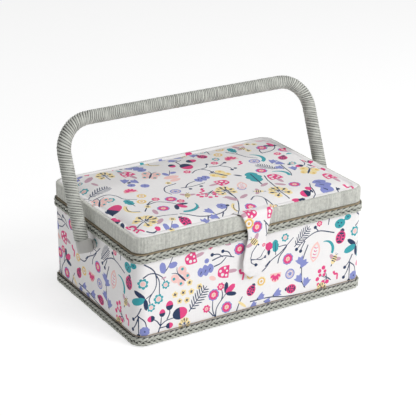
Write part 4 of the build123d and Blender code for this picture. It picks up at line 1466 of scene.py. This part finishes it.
# dark strips behind the plaits: painted shade in their gaps
shade_backing("rim_shade_backing", "rim_braid", 1.3, 0.5, 0.5)
shade_backing("base_shade_backing", "base_braid", 1.2, 0.6, 0.55)
twine("base_line", "base_twine", 0.27)


def binding():
    """Folded tape over the top edge of the walls."""
    low, high = reach("top_binding")
    stations = np.arange(0, CASE_GIRTH, 2.0)
    inner = reach("side_lining")
    depth = (CASE_LENGTH - (inner[1] - inner[0])[0]) / 2 + 1.0
    crest = (high - low)[2] + 0.05
    fold = [
        (-depth / 2 + (depth / 2 + 0.1) * math.cos(a), WALL_TOP - 0.1 + crest * math.sin(a) ** 0.6)
        for a in np.linspace(0, math.pi, 9)
    ]
    profile = np.array([(0.1, WALL_TOP - 2.4), *fold, (-depth - 0.15, WALL_TOP - 2.4)])
    outs = profile[:, 0] + 0.06 * wander(3, stations, 5.0)[:, None]
    step = np.linalg.norm(np.diff(profile, axis=0), axis=1)
    across = np.concatenate([[0], np.cumsum(step), [step.sum() + 2]])
    made = girdle("top_tape", CASE, stations, outs, profile[:, 1], across)
    tape = plain_cotton("binding_tape", linear(176, 160, 134), 0.0006)
    return finished(made, tape, "box", "twine", "top_binding")


binding()

# ---- the handle -----------------------------------------------------------------------------------
TURN_PITCH, LEG_PITCH = 2.1, 2.5  # from ridge to ridge, on the grip and on the legs
STARTS = 5  # cords wound side by side
GRIP_BOW = 0.2
WRAP_END = 0.3  # where the winding starts and stops, from each cap


def handle_wrap():
    """Cord wound round the handle, in ridges that lean round the grip and part on the outside of bends."""
    leg = HANDLE_REACH - HANDLE_BEND - LEG_START
    arc = HANDLE_BEND * math.pi / 2
    inner, level = HANDLE_HALF - HANDLE_BEND, HANDLE_REACH - HANDLE_BEND
    total = 2 * leg + 2 * arc + 2 * inner
    s = np.linspace(WRAP_END, total - WRAP_END, int(total / 0.36))
    knots = np.cumsum([leg, arc, 2 * inner, arc])
    part = np.searchsorted(knots, s)

    def along(*values):
        """One value for the left leg, its bend, the grip, the right bend and the right leg."""
        return np.select([part == i for i in range(5)], [0 * s + value for value in values])

    quarter = math.pi / 2
    turn = along(0, (s - knots[0]) / HANDLE_BEND, quarter, quarter + (s - knots[2]) / HANDLE_BEND, math.pi)
    inwards, rise = HANDLE_BEND * np.cos(turn), level + HANDLE_BEND * np.sin(turn)
    x = along(-HANDLE_HALF, -inner - inwards, -inner + s - knots[1], inner - inwards, HANDLE_HALF)
    y = along(LEG_START + s, rise, HANDLE_REACH, rise, LEG_START + total - s)
    y = y + np.where(part == 2, GRIP_BOW * np.cos(x / inner * quarter), 0)
    sides = 30
    angle = TURN * np.arange(sides) / sides
    bend = np.convolve(along(0, 1, 0, 1, 0), np.ones(15) / 15, mode="same")
    pitch = along(LEG_PITCH, LEG_PITCH, TURN_PITCH, LEG_PITCH, LEG_PITCH)
    pitch = np.convolve(np.pad(pitch, 60, mode="edge"), np.ones(121) / 121, mode="valid")
    turns_so_far = np.cumsum(np.gradient(s) / pitch)
    phase = turns_so_far[:, None] + STARTS * angle / TURN + 0.3 * wander(2, s, 17.0)[:, None]
    turn_number = np.floor(phase)
    ridge = np.sqrt(np.maximum(0, 1 - np.abs(2 * (phase - turn_number) - 1) ** 2.6))
    parting = 1 + 0.8 * bend[:, None] * np.maximum(0, np.cos(angle))
    radius = WRAP_RADIUS + 0.2 - 0.85 * parting * (1 - ridge)
    radius = radius + 0.14 * np.sin(turn_number * 2.4) * np.cos(angle + 0.7 + turn_number) - 0.07
    closing = np.minimum(1, np.minimum(s - WRAP_END, total - WRAP_END - s) / 0.5)
    radius = radius * np.maximum(0.001, closing)[:, None]
    # outwards is away from the hand's opening
    outwards_by, off_plane = radius * np.cos(angle), radius * np.sin(angle)
    up_leg = y[:, None] + outwards_by * np.sin(turn)[:, None]
    sine, cosine = math.sin(HANDLE_LEAN), math.cos(HANDLE_LEAN)
    points = np.stack(
        [
            x[:, None] - outwards_by * np.cos(turn)[:, None],
            PIVOT[1] + up_leg * sine - off_plane * cosine,
            PIVOT[2] + up_leg * cosine + off_plane * sine,
        ],
        axis=2,
    )
    around = np.arange(sides + 1) * TURN * WRAP_RADIUS / sides
    made = lattice("handle_cord", points, s, around, (False, True), crossed=True)
    # painted shade in the gaps between ridges, deeper where the turns part on the outside of bends, and
    # varied from turn to turn and round the cord
    depth = 0.85 + 0.5 * np.sin(turn_number * 5.7 + angle * 2) - 0.35 * np.cos(angle + 2.2)
    shaded(
        made,
        0.94 + 0.16 * np.sin(turn_number * 12.9898) * np.sin(turn_number * 3.1),
        np.clip((1 - ridge - 0.08) * 2.4 * parting * np.clip(depth, 0.15, 1.4), 0, 1),
    )
    return finished(made, HANDLE_CORD, "handle", "paper_cord", "handle_wrap")


handle_wrap()


def turned(name, radius, low, high, bevel, laid):
    """A round bar from low to high along its own Z axis, with rounded ends, laid in place by a matrix."""
    bpy.ops.object.select_all(action="DESELECT")
    bpy.ops.mesh.primitive_cylinder_add(vertices=56, radius=radius * MM, depth=(high - low) * MM)
    made = bpy.context.object
    made.name = made.data.name = name
    made.location.z = (low + high) / 2 * MM
    bpy.ops.object.transform_apply(location=True)
    modify(made, "BEVEL", width=bevel * MM, segments=5, limit_method="ANGLE", angle_limit=math.radians(50))
    made.data.transform(laid)
    return made


CAP_RADIUS, CAP_INSET = 7.9, 1.7
NECK_AT, BUSH_AT = 138.7, 132.5  # how far out their middles are


def end_cap(side, sign):
    """The smooth cap over the end of the handle, with the short neck that meets the wall's bush."""
    centre = Vector((sign * (HANDLE_HALF - CAP_INSET), PIVOT[1], PIVOT[2])) * MM
    lean, sideways = Matrix.Rotation(-HANDLE_LEAN, 4, "X"), Matrix.Rotation(math.pi / 2, 4, "Y")
    neck_at, bush_at = (
        Matrix.Translation((sign * x * MM, *centre[1:])) @ sideways for x in (NECK_AT, BUSH_AT)
    )
    cap = turned(f"{side}_cap", CAP_RADIUS, -6.4, 6.6, 1.5, Matrix.Translation(centre) @ lean)
    neck = turned("neck", 3.7, -4.6, 4.6, 0.3, neck_at)
    modify(cap, "BOOLEAN", operation="UNION", object=neck, solver="EXACT")
    bpy.data.objects.remove(neck)
    dress(softened(cap, 35), CAP_PLASTIC, "handle", "grey_plastic", f"{side}_end_cap")
    bush = turned(f"{side}_bush", 4.8, -1.5, 1.5, 0.5, bush_at)
    return dress(softened(bush, 35), CAP_PLASTIC, "box", "grey_plastic", f"{side}_pivot_bush")


end_cap("left", -1)
end_cap("right", 1)


# ---- inside the lid -------------------------------------------------------------------------------
def inner_wall():
    """Lining cloth on the inside of the walls, with a soft wave."""
    low, high = reach("side_lining")
    length, width = (high - low)[:2]
    size = (length, width, CASE_CORNER - (CASE_LENGTH - length) / 2)
    loop = girth(*size)
    stations = np.arange(0, loop, 2.0)
    levels = np.linspace(low[2] + 0.2, high[2] - 0.4, 26)
    waves = np.array([[ringed_noise(s, loop, 9, z / 26) for z in levels] for s in stations])
    outs = np.concatenate([-0.55 - 0.4 * waves, -0.05 + 0 * waves], axis=1)
    ups = np.concatenate([levels, levels[::-1]])
    made = girdle("inner_cloth", size, stations, outs, ups, np.arange(len(ups) + 1) * 3.4)
    finished(made, LINING, "box", "lining_cloth", "side_lining")
    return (made, loop * MM)[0]


inner_wall()


def flat_uv(made):
    """A UV map straight from above, for pads that lie level."""
    order = np.zeros(len(made.data.loops), int)
    made.data.loops.foreach_get("vertex_index", order)
    points = points_of(made)[order] / MM
    return lay_uv(made, points[:, :2] + points[:, 2:] * 0.3)


def soft_floor():
    """The padded floor inside the box."""
    low, high = reach("floor_pad")
    made = puffed("floor_cushion", low + (0.8, 0.8, 0.05), high - (0.8, 0.8, 0.6), 5.0, 0.8, 1.6, 1.2, 3.0, 0)
    dress(flat_uv(made), LINING, "box", "lining_cloth", "floor_pad")
    return made


soft_floor()


def lid_inside():
    """Lining across the inside of the lid, with piping round its edge."""
    low, high = reach("lid_lining")
    length, width = (high - low)[:2]
    corner = LID_CORNER - RIM_DEPTH
    made = slab("lid_inside_cloth", low + (0.1, 0.1, 0.0), high - (0.1, 0.1, 0.05), corner, 0.3)
    dress(softened(flat_uv(made)), LINING, "lid", "lining_cloth", "lid_lining")
    size = (length - 2.4, width - 2.4, corner)
    _, base, facing = rounds(size, int(girth(*size) / 1.6))
    piping = tubes("lid_piping", (base + UPWARDS * (low[2] - 0.7))[None], facing, 1.05, 8)
    return finished(shaded(piping, 1.0, 0.0), PLAIT_CORD, "lid", "paper_cord")


lid_inside()


def pocket():
    """A gathered pocket on the lid's lining, drawn in by elastic along its open edge."""
    low, high = reach("lid_pocket")
    tape_low, tape_high = reach("pocket_elastic")
    span, deep = (high - low)[:2]
    floor, crest = high[2] - 0.2, low[2] + 0.3
    puff = floor - crest - 1.1

    def gathers(u):
        return np.sin(TURN * u * span / 8.5 + 1.3 * np.sin(u * 11))

    def risen(u):
        """0 at the pocket's sides and 1 a little way in."""
        return np.sin(np.minimum(1, np.minimum(u, 1 - u) * span / 7) * math.pi / 2)

    u, v = np.linspace(0, 1, 150), np.linspace(0, 1, 44)
    grid_u, grid_v = np.meshgrid(u, v, indexing="ij")
    rise = risen(grid_u) * np.sin(np.minimum(1, (1 - grid_v) * deep / 8) * math.pi / 2)
    folds = gathers(grid_u) * np.exp(-grid_v * 2.4)
    sag = 0.75 + 0.25 * np.sin(math.pi * np.minimum(1, grid_v * 1.3))
    z = floor - puff * rise * sag - 0.95 * folds * rise
    points = np.stack([low[0] + span * grid_u, low[1] + 0.4 + (deep - 0.4) * grid_v, z], axis=2)[:, ::-1]
    made = lattice("pocket_cloth", points, u * span * 1.25, v * deep, (False, False))
    modify(made, "SOLIDIFY", thickness=0.8 * MM, offset=0.0)
    finished(made, LINING, "lid", "lining_cloth", "lid_pocket")
    tape_y = np.linspace(0, 1, 4) * (tape_high - tape_low)[1] + tape_low[1] + 0.5
    edge_u, edge_y = np.meshgrid(np.linspace(0.012, 0.988, 220), tape_y, indexing="ij")
    ends = risen(edge_u)
    fringe = floor - puff * ends * 0.75 - 0.95 * gathers(edge_u) * ends - 0.75
    band = np.stack([low[0] + span * edge_u, edge_y, fringe], axis=2)[:, ::-1]
    elastic = lattice("pocket_band", band, np.linspace(0, span, 220), np.arange(4) * 1.6, (False, False))
    modify(elastic, "SOLIDIFY", thickness=0.6 * MM, offset=0.0)
    finished(elastic, ELASTIC, "lid", "elastic", "pocket_elastic")
    return made


pocket()


def cushion():
    """The stuffed pin cushion inside the lid."""
    low, high = reach("pin_cushion")
    made = puffed("pin_pad", low + (1.5, 1.5, 1.8), high - (1.5, 1.5, 0.0), 8.0, 1.6, 3.0, 2.4)
    dress(flat_uv(made), CUSHION_COTTON, "lid", "lining_cloth", "pin_cushion")
    return made


cushion()

# ---- trays, hardware and boards -------------------------------------------------------------------
for side in ("left", "right"):
    tray = copied(f"{side}_tray", f"{side}_tray_moulding", 0.5, 3, 40.0)
    dress(tray, TRAY_PLASTIC, f"{side}_tray", "tray_plastic")
    for node, body in ((f"{side}_hinge_body_leaf", "box"), (f"{side}_hinge_lid_leaf", "lid")):
        dress(copied(node, node.replace("hinge_", "") + "_plate", 0.15, 2, 50.0), STEEL, body, "steel")
for part, body in (("body", "box"), ("lid", "lid")):
    dress(copied(f"{part}_hinge_screws", f"{body}_screws", 0.25), STEEL, body, "steel")

# CAD pieces that stay as they are, and only get a finish.
KEPT = {
    BOARD: ("bottom_board", "front_wall", "back_wall", "left_wall", "right_wall", "corner_pieces",
            "front_ledge", "back_ledge", "lid_rim", "lid_board"),
    UNDER_SHEET: ("base_cover",),
    STEEL: ("catch_magnet", "tab_magnet", "left_push_nut", "right_push_nut", "left_hinge_pin",
            "right_hinge_pin"),
    CORE_PLASTIC: ("handle_core",),
}
for material, names in KEPT.items():
    for name in names:
        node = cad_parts[name]
        node.data.materials.clear()
        node.data.materials.append(material)


# ---- floor, light and camera ----------------------------------------------------------------------
def floor():
    """A white floor that glows a little, so that it stays white under soft lights."""
    bpy.ops.object.select_all(action="DESELECT")
    bpy.ops.mesh.primitive_plane_add(size=8.0, location=(0, 0, -0.0002))
    made = bpy.context.object
    made.name = "floor"
    finish = Finish("white_floor")
    speckle = finish.noise(finish.place(), 30.0)
    made.data.materials.append(
        finish.done(
            Base_Color=finish.tint((0.46, 0.46, 0.46, 1), 0.99 + speckle * 0.02),
            Roughness=0.9,
            Specular_IOR_Level=0.1,
            Emission_Color=(1.0, 1.0, 1.0, 1.0),
            Emission_Strength=0.68,
        )
    )


MIDDLE = Vector((0, 0, 60 * MM))


def facing_box(azimuth, elevation):
    """The direction back from the box: degrees round from the front, and up from level."""
    side, rise = math.radians(azimuth), math.radians(elevation)
    return Vector((math.sin(side) * math.cos(rise), -math.cos(side) * math.cos(rise), math.sin(rise)))


def light(name, azimuth, elevation, distance, size, watts):
    """A square soft light aimed at the box from this direction."""
    back = facing_box(azimuth, elevation)
    lamp = bpy.data.lights.new(name, "AREA")
    lamp.size, lamp.energy = size, watts
    made = linked(name, lamp)
    made.location = MIDDLE + back * distance
    made.rotation_euler = back.to_track_quat("Z", "Y").to_euler()


def camera():
    """A long lens from the front left, a little above."""
    back, roll = facing_box(-31.4, 23.5), math.radians(0.28)
    right = Vector((0, 0, 1)).cross(back).normalized()
    above = back.cross(right)
    sine, cosine = math.sin(roll), math.cos(roll)
    rolled = (right * cosine + above * sine, above * cosine - right * sine)
    lens = bpy.data.cameras.new("camera")
    lens.lens, lens.sensor_width = 119.64, 36.0
    lens.shift_x, lens.shift_y = 0.001, 0.0521
    made = linked("camera", lens)
    spot = MIDDLE + back * 1.416
    made.matrix_world = Matrix.Translation(spot) @ Matrix((*rolled, back)).transposed().to_4x4()
    bpy.context.scene.camera = made


floor()
light("key", 28, 38, 2.2, 0.9, 26)
light("top_fill", 24, 82, 2.4, 1.4, 20)
camera()
world = bpy.data.worlds.new("studio")
bpy.context.scene.world = world
world.use_nodes = True
sky = world.node_tree.nodes["Background"].inputs
sky["Color"].default_value, sky["Strength"].default_value = (1, 1, 1, 1), 0.2
bpy.context.scene.view_settings.view_transform = "Standard"
